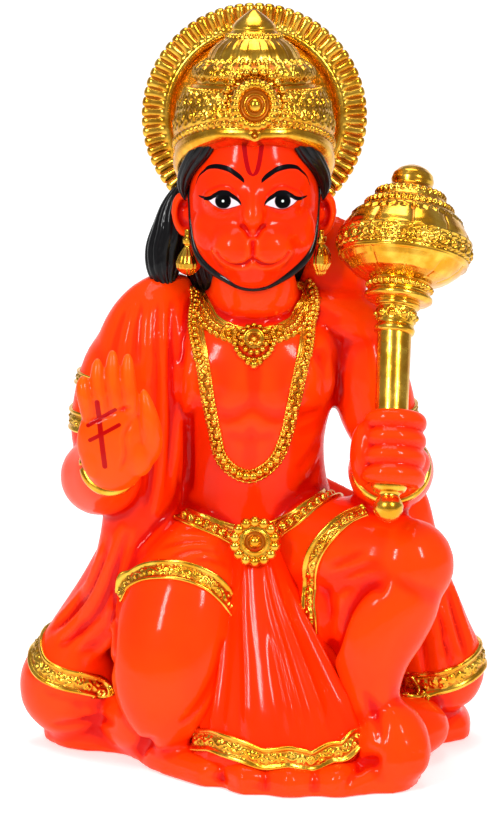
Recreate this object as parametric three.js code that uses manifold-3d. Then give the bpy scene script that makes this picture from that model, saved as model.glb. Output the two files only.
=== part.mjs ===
// A painted cast figure of a monkey-faced god, kneeling on one knee, with a palm raised in blessing, a mace
// held upright, a tall crown and a round halo. Everything is one casting on a low cloth-covered ground.
// Millimetres, +Z up. The figure looks along -Y, and its blessing hand is on the -X side.
import * as THREE from "three";
import { mergeVertices } from "three/addons/utils/BufferGeometryUtils.js";
import Module from "manifold-3d";

const wasm = await Module();
wasm.setup();

// Driving dimensions. The pose, proportions and carving are in shares, of which the figure is 250 tall.
const height = 250;
const share = height / 250;
const haloThickness = 5;
const haloRays = 48;
const shaftDiameter = 10.4;
const fingerThickness = 6.2;
const gadroons = 10;
const petals = 12;
const pleats = 7;
const backFolds = 12;
const shoulderFolds = 7;

const front = new THREE.Vector3(0, -1, 0);
const back = new THREE.Vector3(0, 1, 0);
const up = new THREE.Vector3(0, 0, 1);
const point = (x, y, z) => new THREE.Vector3(x, y, z).multiplyScalar(share);
const inShares = (profile) => profile.map(([distance, radius]) => [distance * share, radius * share]);
const bothSides = (make) => [-1, 1].map(make);

// A three.js geometry as a solid that can be joined and cut.
function solid(geometry) {
  geometry.deleteAttribute("normal");
  geometry.deleteAttribute("uv");
  const merged = mergeVertices(geometry, 1e-4);
  return new wasm.Manifold(
    new wasm.Mesh({
      numProp: 3,
      vertProperties: merged.attributes.position.array,
      triVerts: new Uint32Array(merged.index.array),
    }),
  );
}

const join = (...solids) => solids.flat().reduce((whole, next) => whole.add(next));

// Forms that cross can close off a pocket between them. A casting has none, so only the outer skin is kept.
const withoutPockets = (whole) => join(whole.decompose().filter((shell) => shell.volume() > 0));

function geometryOf(whole) {
  const { vertProperties, triVerts } = whole.getMesh();
  const geometry = new THREE.BufferGeometry();
  geometry.setAttribute("position", new THREE.BufferAttribute(vertProperties, 3));
  geometry.setIndex(new THREE.BufferAttribute(triVerts, 1));
  return geometry;
}

// A closed round-ended form along a smooth centreline. Each stop of the line is x, y, z, half the width and
// half the depth, in shares. The depth is measured towards `facing`. Relief is added outwards, at an angle
// from it. A larger `blunt` gives squarer ends.
function limb(line, { sides = 10, steps = 5, facing = front, blunt = 2.4, relief = null } = {}) {
  const places = line.map(([x, y, z]) => point(x, y, z));
  const sizes = line.map(([, , , halfWidth, halfDepth]) => point(halfWidth, halfDepth, 0));
  const centre = new THREE.CatmullRomCurve3(places, false, "catmullrom");
  const size = new THREE.CatmullRomCurve3(sizes, false, "catmullrom");
  const geometry = new THREE.SphereGeometry(1, sides, steps);
  const corners = geometry.getAttribute("position");
  const place = new THREE.Vector3();
  for (let i = 0; i < corners.count; i++) {
    place.fromBufferAttribute(corners, i);
    const along = THREE.MathUtils.clamp((1 + place.y) / 2, 0, 1);
    const angle = Math.atan2(place.x, place.z);
    const swell = Math.pow(Math.max(0, 1 - Math.pow(Math.abs(place.y), blunt)), 1 / blunt);
    const tangent = centre.getTangent(along);
    const side = new THREE.Vector3().crossVectors(tangent, facing).normalize();
    const out = new THREE.Vector3().crossVectors(side, tangent).normalize();
    const half = size.getPoint(along);
    const lift = relief ? relief(angle, along) * share : 0;
    centre.getPoint(along, place);
    place.addScaledVector(side, Math.sin(angle) * (half.x + lift) * swell);
    place.addScaledVector(out, Math.cos(angle) * (half.y + lift) * swell);
    corners.setXYZ(i, place.x, place.y, place.z);
  }
  return solid(geometry);
}

// An egg-shaped swelling, by its centre and three half sizes, in shares.
function bulge([x, y, z], [halfX, halfY, halfZ], sides, steps) {
  const geometry = new THREE.SphereGeometry(1, sides, steps).rotateX(Math.PI / 2);
  geometry.scale(halfX * share, halfY * share, halfZ * share);
  return solid(geometry.translate(x * share, y * share, z * share));
}

// A profile of [distance, radius] spun about its axis, and closed onto it at both ends.
function spun(profile, sides) {
  const closed = [[profile[0][0], 0], ...profile, [profile.at(-1)[0], 0]];
  const outline = closed.map(([distance, radius]) => new THREE.Vector2(radius, distance));
  return new THREE.LatheGeometry(outline, sides);
}

// A turned form: its profile of [distance from the start, radius] is spun about the line from start to end.
// Lobes pinch the radius between the two distances in `lobed`.
function turned(profile, start, end, { sides, lobes = 0, lobed = [0, 0], pinch = 0 }) {
  const geometry = spun(profile, sides);
  const corners = geometry.getAttribute("position");
  for (let i = 0; i < corners.count; i++) {
    const angle = Math.atan2(corners.getX(i), corners.getZ(i));
    if (corners.getY(i) > lobed[0] && corners.getY(i) < lobed[1]) {
      const scale = 1 - pinch * (0.5 - 0.5 * Math.cos(lobes * angle));
      corners.setXYZ(i, corners.getX(i) * scale, corners.getY(i), corners.getZ(i) * scale);
    }
  }
  const axis = new THREE.Vector3().subVectors(end, start).normalize();
  geometry.applyQuaternion(new THREE.Quaternion().setFromUnitVectors(new THREE.Vector3(0, 1, 0), axis));
  return solid(geometry.translate(start.x, start.y, start.z));
}

function torso() {
  const trunk = limb(
    [
      [0, 4, 52, 27, 17],
      [0, 3, 70, 29, 20],
      [0, 3, 84, 28, 19.5],
      [0, 2, 94, 24.4, 18],
      [0, 0, 108, 23.6, 18.4],
      [0, -1, 122, 27, 20],
      [-1, 0, 136, 32, 19.6],
      [-1, 2, 148, 31, 15],
      [0, 2, 160, 17, 11],
    ],
    { sides: 12, steps: 8, blunt: 3 },
  );
  const chest = bothSides((turn) => bulge([turn * 12, -9, 128], [15, 10.4, 13], 8, 4));
  const neck = limb(
    [
      [0, -1, 148, 17.4, 14],
      [0, -4, 160, 14, 12.5],
      [0, -6, 172, 13, 13],
    ],
    { steps: 3 },
  );
  const bareShoulder = limb(
    [
      [4, 4, 151, 10, 9.6],
      [18, 4, 149.6, 10.4, 9.8],
      [30, 3, 147, 11, 10],
      [39, 3, 141, 10, 9.4],
      [45, 3, 133, 9, 9],
    ],
    { facing: up },
  );
  return join(trunk, chest, neck, bareShoulder);
}

// The head: a broad jaw, two rounded cheeks beside the mouth, a short flat nose and ears that stand out.
function head() {
  const skull = limb(
    [
      [0, -17.5, 158.2, 9, 8],
      [0, -14.5, 166, 17, 13.5],
      [0, -12, 176, 19.8, 16.5],
      [0, -10, 187, 20.6, 18],
      [0, -8, 198, 20, 19],
      [0, -6, 210, 18, 18],
      [0, -4, 220, 12, 12],
    ],
    { sides: 14, steps: 8 },
  );
  const nose = limb(
    [
      [0, -29, 177, 3.2, 3],
      [0, -31, 181.5, 4, 2.6],
      [0, -27.4, 190, 2.4, 2.4],
    ],
    { sides: 6, steps: 4 },
  );
  const chin = bulge([0, -25, 165.6], [9, 5.2, 5], 6, 4);
  const cheeks = bothSides((turn) => bulge([turn * 5.6, -27.6, 175], [7.8, 6.2, 6.8], 8, 5));
  const eyes = bothSides((turn) => bulge([turn * 9.4, -24.6, 188], [5.6, 3, 3], 6, 4));
  const ears = bothSides((turn) => bulge([turn * 22, -5.5, 181], [5.6, 3.6, 7.8], 6, 4));
  return join(skull, nose, chin, cheeks, eyes, ears);
}

function hair() {
  const temples = bothSides((turn) =>
    limb(
      [
        [turn * 15.5, -20, 204, 4, 3],
        [turn * 21.4, -14, 198, 5, 4.4],
        [turn * 24, -8, 190, 3.8, 4],
      ],
      { sides: 6, steps: 3 },
    ),
  );
  const mass = limb([
    [0, 5, 156, 22, 7],
    [0, 4, 172, 25, 11],
    [0, 2, 190, 23, 14],
    [0, 2, 204, 18, 14],
  ]);
  const lock = limb(
    [
      [-31, 0, 156, 2.6, 3.6],
      [-33, 1, 165, 5.2, 5.4],
      [-29, 2, 173, 5.6, 6],
      [-27, 2, 181, 5, 6.4],
      [-25, 1, 190, 4, 6],
    ],
    { sides: 8, steps: 6 },
  );
  return join(temples, mass, lock);
}

// The rim of the crown rises over the brow and drops to the temples: its lowest rows lean with their depth.
function crown() {
  const centre = { y: -5, rim: 208 };
  const [lean, leanStart, leanEnd] = [0.62, -24, 14];
  const flatter = 0.96;
  const profile = [
    [0, 24.4],
    [0.8, 26.2],
    [3, 26.2],
    [4.6, 25],
    [12, 25],
    [17, 21.8],
    [18.8, 21.6],
    [20.4, 17.8],
    [28.4, 13.2],
    [31, 8.8],
    [33.6, 7.6],
    [37, 4.6],
    [41.6, 1],
  ];
  const geometry = spun(profile, 18).rotateX(Math.PI / 2);
  const corners = geometry.getAttribute("position");
  for (let i = 0; i < corners.count; i++) {
    const [x, y, rise] = [corners.getX(i), corners.getY(i) * flatter, corners.getZ(i)];
    const drop = lean * (y - leanStart) * THREE.MathUtils.clamp(1 - rise / leanEnd, 0, 1);
    const spot = point(x, y + centre.y, centre.rim + rise - drop);
    corners.setXYZ(i, spot.x, spot.y, spot.z);
  }
  const medallion = turned(
    inShares([
      [0, 7],
      [1.6, 7],
      [3.2, 4.6],
      [5, 2.4],
    ]),
    point(0.2, -26.5, 218.6),
    point(0.2, -40, 220),
    { sides: 10 },
  );
  const stud = bulge([0.2, -30.6, 208.6], [2.6, 2, 2.6], 6, 4);
  return join(solid(geometry), medallion, stud);
}

// The halo: a plate that rises to a ring and ends in corrugated rays, spun with two steps to a ray.
function halo() {
  const centre = point(0.2, 13.5, 212.4);
  const [outer, inner, ridge] = [37.6 * share, 28.6 * share, 1.7 * share];
  const valleyDepth = 0.35 * haloThickness;
  const profile = [
    [0, 0],
    [inner, -ridge],
    [inner + ridge, 0],
    [outer, 0],
    [outer, haloThickness],
    [0, haloThickness],
  ];
  const outline = profile.map(([radius, depth]) => new THREE.Vector2(radius, depth));
  const geometry = new THREE.LatheGeometry(outline, haloRays * 2);
  const corners = geometry.getAttribute("position");
  const step = Math.PI / haloRays;
  for (let i = 0; i < corners.count; i++) {
    const [x, depth, z] = [corners.getX(i), corners.getY(i), corners.getZ(i)];
    const onRay = Math.hypot(x, z) > inner + ridge / 2 && depth < haloThickness / 2;
    const valley = Math.round(Math.atan2(x, z) / step) % 2 === 0;
    if (onRay && valley) corners.setY(i, depth + valleyDepth);
  }
  return solid(geometry.translate(centre.x, centre.y, centre.z));
}

// The raised arm: the upper arm hangs under the cloth, the forearm comes forward and the palm faces ahead.
function blessingArm() {
  const upperArm = limb(
    [
      [-38, 2, 144, 10.5, 11],
      [-46.5, 1, 132, 10, 11.5],
      [-51, -2, 114, 10, 11.5],
      [-51, -8, 97, 11.4, 12],
    ],
    { sides: 8, steps: 4 },
  );
  const forearm = limb(
    [
      [-50.5, 2, 96, 10.5, 11],
      [-50, -12, 97, 13, 13],
      [-48, -26, 100, 11.5, 12],
      [-45.5, -38, 105, 8.4, 9],
      [-44.6, -45, 111, 8, 6],
    ],
    { facing: up },
  );
  const palm = limb(
    [
      [-44.6, -43, 103, 8.4, 4.6],
      [-44, -45.5, 110, 11.4, 5],
      [-44, -46.6, 118, 12.2, 4.4],
      [-45.4, -47, 127, 10.6, 3.4],
    ],
    { blunt: 4 },
  );
  const thumb = limb(
    [
      [-33.6, -45, 108, 4, 4],
      [-31.8, -47.4, 117, 3.8, 3.8],
      [-34.6, -49, 125, 2.8, 3],
      [-35.4, -48.4, 131.4, 1.8, 2],
    ],
    { sides: 6 },
  );
  const knuckles = { x: -52.2, z: 121, pitch: 4.7 };
  const fingerTips = [
    [-53.8, 135.4],
    [-49.2, 141],
    [-44.4, 143.8],
    [-39.6, 142.6],
  ];
  const fingers = fingerTips.map(([x, top], i) =>
    limb(
      [
        [knuckles.x + i * knuckles.pitch, -47, knuckles.z, 2.9, 3],
        [x, -48.4, (knuckles.z + top) / 2, 2.9, 2.9],
        [x, -48, top, 2.6, 2.6],
      ],
      { sides: 6, steps: 4 },
    ),
  );
  return join(upperArm, forearm, palm, thumb, fingers);
}

// The mace leans back from the fist to the shoulder. Above its neck it tips a little further out.
const maceFoot = point(42.2, -50, 89);
const maceNeck = point(44.9, -27.6, 147);
const maceTop = point(52, -8, 198);
const shaftLength = maceFoot.distanceTo(maceNeck);
const maceAlong = (distance) => maceFoot.clone().lerp(maceNeck, distance / shaftLength);
const fistStart = 12 * share;

function mace() {
  const shaft = shaftDiameter / 2;
  const pommel = inShares([
    [0, 1],
    [3, 4.4],
    [6.6, 4.6],
    [9.4, 3.4],
    [10.4, 5.5],
    [13, 5.5],
  ]);
  const plain = [
    [14 * share, shaft - 0.2 * share],
    [shaftLength + share, shaft + 0.3 * share],
  ];
  const neck = [
    [-1, 0.3],
    [-0.6, 1.2],
    [8, 1.2],
    [9.4, 5.4],
    [11.4, 5.8],
    [12.4, 4.6],
    [15.6, 4.8],
  ].map(([distance, wider]) => [distance * share, shaft + wider * share]);
  const ball = inShares([
    [18, 16],
    [22, 19.8],
    [27, 21.3],
    [31.4, 20.9],
    [36.4, 18.2],
    [39.6, 14.4],
    [43, 13],
    [46.6, 9.8],
    [48.4, 6.6],
    [52, 6.6],
    [55.2, 1.2],
  ]);
  const lobed = [17 * share, 40 * share];
  const staff = turned([...pommel, ...plain], maceFoot, maceNeck, { sides: 8 });
  const lobes = { sides: gadroons * 2, lobes: gadroons, lobed, pinch: 0.05 };
  return join(staff, turned([...neck, ...ball], maceNeck, maceTop, lobes));
}

// The mace arm, and the fist whose four fingers wrap the shaft one above the other.
function maceArm() {
  const upperArm = limb([
    [33, 2, 148, 12, 12],
    [37, 3, 132, 13.4, 13],
    [41, 3, 117, 13, 12.5],
    [44.5, 1, 106, 11.6, 12],
    [47.6, -5, 97, 11.4, 12],
  ]);
  const forearm = limb(
    [
      [47, 4, 98, 11, 11],
      [45.5, -9, 98.5, 14.4, 13.6],
      [44.4, -22, 100, 13.6, 13],
      [44, -34, 105, 10.4, 10],
      [44, -42, 109, 8.6, 8.6],
    ],
    { facing: up },
  );
  const heel = limb(
    [
      [34.4, -41, 101, 4, 6],
      [34.2, -42, 110, 4.8, 6.8],
      [35.6, -40, 119, 4.4, 6],
    ],
    { sides: 6, steps: 3 },
  );
  const knuckles = limb(
    [
      [52.4, -38, 100, 3.6, 6],
      [53, -39, 110, 4.2, 6.8],
      [52.6, -36, 118, 3.6, 6],
    ],
    { sides: 6, steps: 3 },
  );
  const finger = fingerThickness * share;
  const reach = shaftDiameter / 2 + 0.92 * finger;
  const roll = [
    [0, 0.82 * reach],
    [finger / 2, reach],
    [finger, 0.82 * reach],
  ];
  const pressed = 0.94 * finger;
  const fingers = [0.3, 1.3, 2.3, 3.3].map((place) =>
    turned(roll, maceAlong(fistStart + place * pressed), maceNeck, { sides: 10 }),
  );
  return join(upperArm, forearm, heel, knuckles, fingers);
}

function kneelingLeg() {
  const thigh = limb(
    [
      [-11, 0, 80, 17, 17],
      [-17, -6, 70, 20, 19.6],
      [-22.4, -15, 56, 21, 20],
      [-26, -21.4, 40, 21.4, 19.6],
      [-28.4, -27, 24, 19.6, 17],
      [-29.6, -30, 9, 14, 11],
    ],
    { sides: 12, steps: 7, blunt: 2.6 },
  );
  const shin = limb(
    [
      [-34, -24, 14, 11, 12],
      [-42, 0, 13, 12, 13],
      [-48, 24, 11, 10, 11],
    ],
    { facing: up, sides: 8, steps: 3 },
  );
  return join(thigh, shin);
}

// The raised knee is round and heavy, and its calf presses against the thigh before it narrows to the ankle.
function raisedLeg() {
  const thigh = limb(
    [
      [4, 4, 74, 15, 16],
      [18, -8, 73, 17, 18],
      [34, -19, 71, 18, 18.4],
      [48, -29, 71.6, 16.4, 16],
      [59, -36, 71, 13, 12.6],
    ],
    { facing: up, sides: 10, steps: 6 },
  );
  const knee = bulge([50.4, -31, 71.4], [15.8, 14, 15.4], 12, 6);
  const underThigh = bulge([27, -21, 52], [14, 12, 20], 8, 4);
  const backOfKnee = bulge([37, -28, 60], [13, 12.6, 12], 8, 4);
  const shin = limb(
    [
      [40, -36, 14, 10, 10],
      [38.4, -36.4, 28, 10, 10.6],
      [38.2, -36, 42, 13, 12],
      [42, -34, 54, 15.6, 14],
      [47, -32, 65, 16.6, 15],
      [49.6, -30, 76, 13.4, 14],
    ],
    { steps: 7 },
  );
  const foot = limb(
    [
      [40, -30, 24, 9, 12],
      [43.6, -38, 17, 12, 12.6],
      [46.4, -45, 11, 12.4, 10.6],
      [47, -53, 5, 10, 6],
    ],
    { facing: up, sides: 8 },
  );
  return join(thigh, knee, underThigh, backOfKnee, shin, foot);
}

// The cloth that falls from the belt between the legs, opening like a fan of pleats above a raised hem.
function frontCloth() {
  const hemTop = 0.16;
  const fan = (angle, along) => {
    const ahead = Math.max(0, Math.cos(0.9 * angle));
    const hem = along < hemTop ? 1.3 : 0;
    return 2 * (1 - along) * ahead * Math.cos(2 * pleats * angle) + hem;
  };
  return limb(
    [
      [11, -24, 5, 33, 24],
      [11, -24.6, 11, 34, 27],
      [9.4, -24.6, 22, 28.6, 24.4],
      [6, -23, 40, 20.4, 19.4],
      [2.4, -20, 58, 13.4, 16.6],
      [0, -14, 78, 8.6, 17],
    ],
    { sides: 4 * pleats, steps: 6, blunt: 5, relief: fan },
  );
}

// The cloak covers the blessing shoulder, crosses the back towards the other hip and spreads over the ground.
function cloak() {
  const backFold = (angle, along) => 1.8 * (1 - along) * Math.cos(backFolds * angle);
  const hang = limb(
    [
      [0, 22, 4, 66, 21],
      [0, 22, 18, 71.4, 23],
      [0, 21, 34, 67, 21],
      [1, 20, 52, 58.6, 18],
      [0, 18, 72, 49, 15],
      [-8, 16, 88, 35, 13],
      [-12, 15, 102, 28, 12.5],
      [-14, 14, 120, 28, 12],
      [-17, 12, 138, 25, 11],
      [-19, 6, 155, 14, 8],
    ],
    { sides: 2 * backFolds, steps: 7, blunt: 5, relief: backFold },
  );
  const shoulderFold = limb(
    [
      [-21, 5, 160, 8, 8],
      [-28, 2, 154, 14.4, 11],
      [-34, -1, 143, 17.4, 13.4],
      [-37, -2, 128, 17.6, 14],
      [-38, -3, 112, 16.4, 13.6],
      [-38, -5, 96, 13.4, 12.6],
      [-38.6, -6, 82, 12, 12],
      [-43, -6, 64, 12, 12],
      [-50, -4, 46, 13.4, 12],
      [-57, 0, 32, 14, 13],
    ],
    { sides: 2 * shoulderFolds, steps: 8, relief: (angle) => 0.8 * Math.cos(shoulderFolds * angle) },
  );
  const sleeve = limb(
    [
      [-54, 4, 92, 8, 12],
      [-52.5, 3, 110, 8.6, 12.5],
      [-46, 2, 132, 9.4, 13],
      [-37, 2, 144, 10, 12],
      [-28, 3, 150, 9, 10],
    ],
    { sides: 8 },
  );
  return join(hang, shoulderFold, sleeve);
}

// Where the cloak meets the ground on each side, it ends in a rolled fold over a soft heap.
function cloakEnds() {
  const blessingSide = limb(
    [
      [-58, 8, 5, 15, 14],
      [-60.4, 5, 14, 18.6, 17],
      [-61.4, 3, 24, 22.2, 16],
      [-59, 3, 36, 14, 14],
      [-52, 4, 56, 10.4, 12],
      [-46, 5, 76, 8, 10],
    ],
    { steps: 6 },
  );
  const maceSide = limb(
    [
      [58, 14, 3, 13, 12],
      [60, 13, 15, 15, 14],
      [62.6, 11, 25, 20.8, 15],
      [60, 11, 38, 14, 14],
      [53, 12, 62, 12, 12],
      [44, 12, 82, 9, 10],
    ],
    { steps: 6 },
  );
  const behindFoot = bulge([52, -6, 14], [16, 18, 12], 6, 4);
  return join(blessingSide, maceSide, behindFoot);
}

// The ground: a low soft-edged slab, flat underneath. It reaches out under the knee, the hem and the foot.
function ground() {
  const rise = 9 * share;
  const soft = 2.5 * share;
  const outline = [
    [-72, 8],
    [-62, -4],
    [-44, -10],
    [-34, -26],
    [-20, -41],
    [-4, -50],
    [14, -53],
    [34, -52],
    [50, -48],
    [56, -30],
    [60, -2],
    [74, 10],
    [70, 34],
    [30, 45],
    [-30, 45],
    [-70, 34],
  ];
  const edge = new THREE.Shape(outline.map(([x, y]) => new THREE.Vector2(x, y).multiplyScalar(share)));
  const geometry = new THREE.ExtrudeGeometry(edge, {
    depth: rise - 2 * soft,
    bevelThickness: soft,
    bevelSize: soft,
    bevelOffset: -soft,
    bevelSegments: 1,
  });
  return solid(geometry.translate(0, 0, soft));
}

// Finds the surface behind a point of the front view, [x, z], in shares.
function landing(body) {
  const target = new THREE.Mesh(geometryOf(body), new THREE.MeshBasicMaterial({ side: THREE.DoubleSide }));
  const ray = new THREE.Raycaster();
  return ([x, z]) => {
    ray.set(point(x, 0, z).addScaledVector(front, height), back);
    return ray.intersectObject(target)[0].point;
  };
}

// A cord or band through points of the front view, laid on the surface and sunk by half its depth.
function laid(land, line, { half, deep, steps }) {
  const flat = new THREE.CatmullRomCurve3(line.map(([x, z]) => new THREE.Vector3(x, 0, z)));
  const stops = flat.getPoints(steps).map(({ x, z }) => {
    const spot = land([x, z]).divideScalar(share);
    return [spot.x, spot.y, spot.z, half, deep];
  });
  return limb(stops, { sides: 3, steps, blunt: 8 });
}

// A turned boss that stands on the surface, facing ahead.
function boss(land, spot, profile, options) {
  const start = land(spot);
  return turned(inShares(profile), start, start.clone().add(front), options);
}

function ornaments(body) {
  const land = landing(body);
  const necklace = [
    [-19.2, 152.4],
    [-18, 143],
    [-15.6, 129],
    [-13.4, 113],
    [-10.6, 101.4],
    [-2, 96.6],
    [6.6, 101.4],
    [11, 113],
    [14.2, 129],
    [17.4, 143],
    [18, 152.4],
  ];
  const collar = [
    [-16.6, 152],
    [-13, 146.4],
    [-7, 142],
    [0, 140.6],
    [7, 142],
    [13, 146.4],
    [16.6, 152],
  ];
  const belt = [
    [-28, 85.6],
    [-22, 83.4],
    [-14, 81.6],
    [0, 80.6],
    [14, 84.2],
    [22, 87.4],
    [27, 91],
  ];
  const kneelingBand = [
    [-44.6, 55],
    [-41, 62],
    [-34, 67.4],
    [-25, 69.6],
    [-15, 66.6],
    [-6.4, 57],
  ];
  const raisedBand = [
    [33, 87],
    [26, 84.6],
    [20.6, 79],
    [17.4, 70],
    [16.6, 60],
    [19, 52.6],
  ];
  const pendant = [
    [-1, 4.4],
    [2.4, 4.2],
    [3.6, 2.2],
  ];
  const buckle = [
    [-3, 8.2],
    [2.2, 8.2],
    [3.2, 5],
    [5.2, 1.4],
  ];
  const petalled = { sides: petals * 2, lobes: petals, lobed: [-4 * share, 2.6 * share], pinch: 0.12 };
  return join(
    laid(land, necklace, { half: 2.5, deep: 2.5, steps: 18 }),
    laid(land, collar, { half: 3.4, deep: 2.6, steps: 10 }),
    laid(land, belt, { half: 3.6, deep: 3, steps: 10 }),
    laid(land, kneelingBand, { half: 3.6, deep: 3.4, steps: 10 }),
    laid(land, raisedBand, { half: 3.4, deep: 3.2, steps: 10 }),
    boss(land, [0, 143], pendant, { sides: 10 }),
    boss(land, [0.2, 81], buckle, petalled),
  );
}

// Bracelets and earrings aren't laid from the front, so each has its own place.
function rings() {
  const hoop = ([x, y, z], radius, tilt) => {
    const ring = new THREE.TorusGeometry(radius * share, 1.7 * share, 3, 12).rotateX(tilt);
    return solid(ring.translate(x * share, y * share, z * share));
  };
  const drop = inShares([
    [0, 2],
    [2.4, 4],
    [6, 2.8],
    [9.4, 1.4],
    [15, 1.6],
  ]);
  const earrings = bothSides((turn) =>
    turned(drop, point(turn * 21.4, -9, 160.6), point(turn * 21.4, -9, 172), { sides: 6 }),
  );
  return join(hoop([-44.8, -40, 105.4], 10.4, 1), hoop([44, -37, 104.8], 12.6, 0.75), earrings);
}

function figure() {
  const body = join(
    torso(),
    head(),
    hair(),
    crown(),
    halo(),
    blessingArm(),
    maceArm(),
    mace(),
    kneelingLeg(),
    raisedLeg(),
    frontCloth(),
    cloak(),
    cloakEnds(),
    ground(),
  );
  const below = solid(new THREE.BoxGeometry(4 * height, 4 * height, height).translate(0, 0, -height / 2));
  const whole = withoutPockets(join(body, ornaments(body), rings()).subtract(below));
  const paint = new THREE.MeshStandardMaterial({ color: 0xff4a14, roughness: 0.28, metalness: 0 });
  const mesh = new THREE.Mesh(geometryOf(whole), paint);
  mesh.name = "hanuman_figure";
  return mesh;
}

const group = new THREE.Group();
group.add(figure());
export default group;
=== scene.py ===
# A painted cast figure of a monkey-faced god, kneeling on one knee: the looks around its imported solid.
# Every form below is in shares of the figure's height, 250 to the top of the crown, as in the solid.
import math

import bmesh
import bpy
import numpy as np
from mathutils import Matrix, Vector
from mathutils.bvhtree import BVHTree

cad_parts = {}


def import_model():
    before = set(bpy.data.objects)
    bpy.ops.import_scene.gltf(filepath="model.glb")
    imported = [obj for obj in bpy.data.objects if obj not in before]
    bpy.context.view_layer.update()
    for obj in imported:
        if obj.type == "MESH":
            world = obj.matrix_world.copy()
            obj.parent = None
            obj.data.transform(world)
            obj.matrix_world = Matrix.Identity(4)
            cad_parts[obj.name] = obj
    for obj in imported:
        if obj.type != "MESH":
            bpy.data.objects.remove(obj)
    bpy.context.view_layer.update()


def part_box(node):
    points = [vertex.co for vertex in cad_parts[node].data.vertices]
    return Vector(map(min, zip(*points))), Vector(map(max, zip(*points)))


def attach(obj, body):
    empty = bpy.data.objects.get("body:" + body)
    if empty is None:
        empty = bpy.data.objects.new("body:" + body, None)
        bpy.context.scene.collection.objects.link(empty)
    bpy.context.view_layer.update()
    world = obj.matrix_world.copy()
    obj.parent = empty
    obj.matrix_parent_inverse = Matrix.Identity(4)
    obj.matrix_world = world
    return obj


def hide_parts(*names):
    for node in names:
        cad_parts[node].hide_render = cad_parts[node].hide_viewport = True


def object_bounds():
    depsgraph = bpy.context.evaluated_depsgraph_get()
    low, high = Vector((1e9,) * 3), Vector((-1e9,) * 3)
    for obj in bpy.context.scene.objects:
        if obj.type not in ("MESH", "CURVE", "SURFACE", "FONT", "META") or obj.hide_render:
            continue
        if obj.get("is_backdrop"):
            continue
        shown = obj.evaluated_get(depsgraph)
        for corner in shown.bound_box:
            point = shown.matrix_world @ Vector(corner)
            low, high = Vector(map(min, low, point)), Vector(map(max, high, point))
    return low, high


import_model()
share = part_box("hanuman_figure")[1].z / 250
scene = bpy.context.scene

# The figure itself, with its cloth and the ground under it, is one casting in filled resin.
# It is modelled as clay is: limbs and folds are laid over each other, get one skin, and are then worked.
ahead = np.array([0.0, -1.0, 0.0])
upward = np.array([0.0, 0.0, 1.0])


def unit(vectors):
    """The same directions, each one share long."""
    return vectors / np.linalg.norm(vectors, axis=-1, keepdims=True).clip(1e-9)


def spline(stops, places):
    """A smooth line through the stops, read at places from 0 to 1."""
    stops = np.array(stops, float)
    knots = np.vstack([2 * stops[0] - stops[1], stops, 2 * stops[-1] - stops[-2]])
    at = np.clip(places, 0, 1) * (len(stops) - 1)
    first = np.minimum(at.astype(int), len(stops) - 2)
    rest = (at - first)[:, None]
    before, start, end, after = (knots[first + step] for step in range(4))
    bend = 2 * before - 5 * start + 4 * end - after
    return start + 0.5 * rest * (end - before + rest * (bend + rest * (3 * (start - end) + after - before)))


grid_rim = 0.9999


def wrapped(bm, sides, steps, warp, layer=None):
    """Rolls a grid into a closed skin.

    The warp gives where a point goes and what its layer keeps, by its angle and its place from -1 to 1.
    """
    points = bmesh.ops.create_grid(bm, x_segments=sides, y_segments=steps, size=1)["verts"]
    flat = np.array([point.co for point in points])
    places, values = warp(math.pi * flat[:, 0], flat[:, 1])
    for point, place in zip(points, places):
        point.co = place
    if layer is not None:
        for point, value in zip(points, values):
            point[layer] = value
    edge = [point for point, (x, y, _) in zip(points, flat) if max(abs(x), abs(y)) > grid_rim]
    bmesh.ops.remove_doubles(bm, verts=edge, dist=1e-4)


def limb(bm, line, sides=36, steps=40, facing=ahead, blunt=2.4, relief=None):
    """A closed round-ended form. Each stop of its line is x, y, z, half the width and half the depth."""
    nudge = 0.001

    def warp(angle, place):
        height = np.sin(place * math.pi / 2)
        along = (1 + height) / 2
        swell = (1 - abs(height) ** blunt).clip(0) ** (1 / blunt)
        stops = spline(line, along)
        tangent = spline(line, along + nudge) - spline(line, along - nudge)
        side = unit(np.cross(tangent[:, :3], facing))
        out = unit(np.cross(side, tangent[:, :3]))
        lift = relief(angle, along) if relief else 0
        across = np.sin(angle) * (stops[:, 3] + lift) * swell
        deep = np.cos(angle) * (stops[:, 4] + lift) * swell
        return stops[:, :3] + side * across[:, None] + out * deep[:, None], None

    wrapped(bm, sides, steps, warp)


def bulge(bm, centre, halves, sides=28, steps=18):
    matrix = Matrix.LocRotScale(Vector(centre), None, Vector(halves))
    bmesh.ops.create_uvsphere(bm, u_segments=sides, v_segments=steps, radius=1, matrix=matrix)


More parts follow.
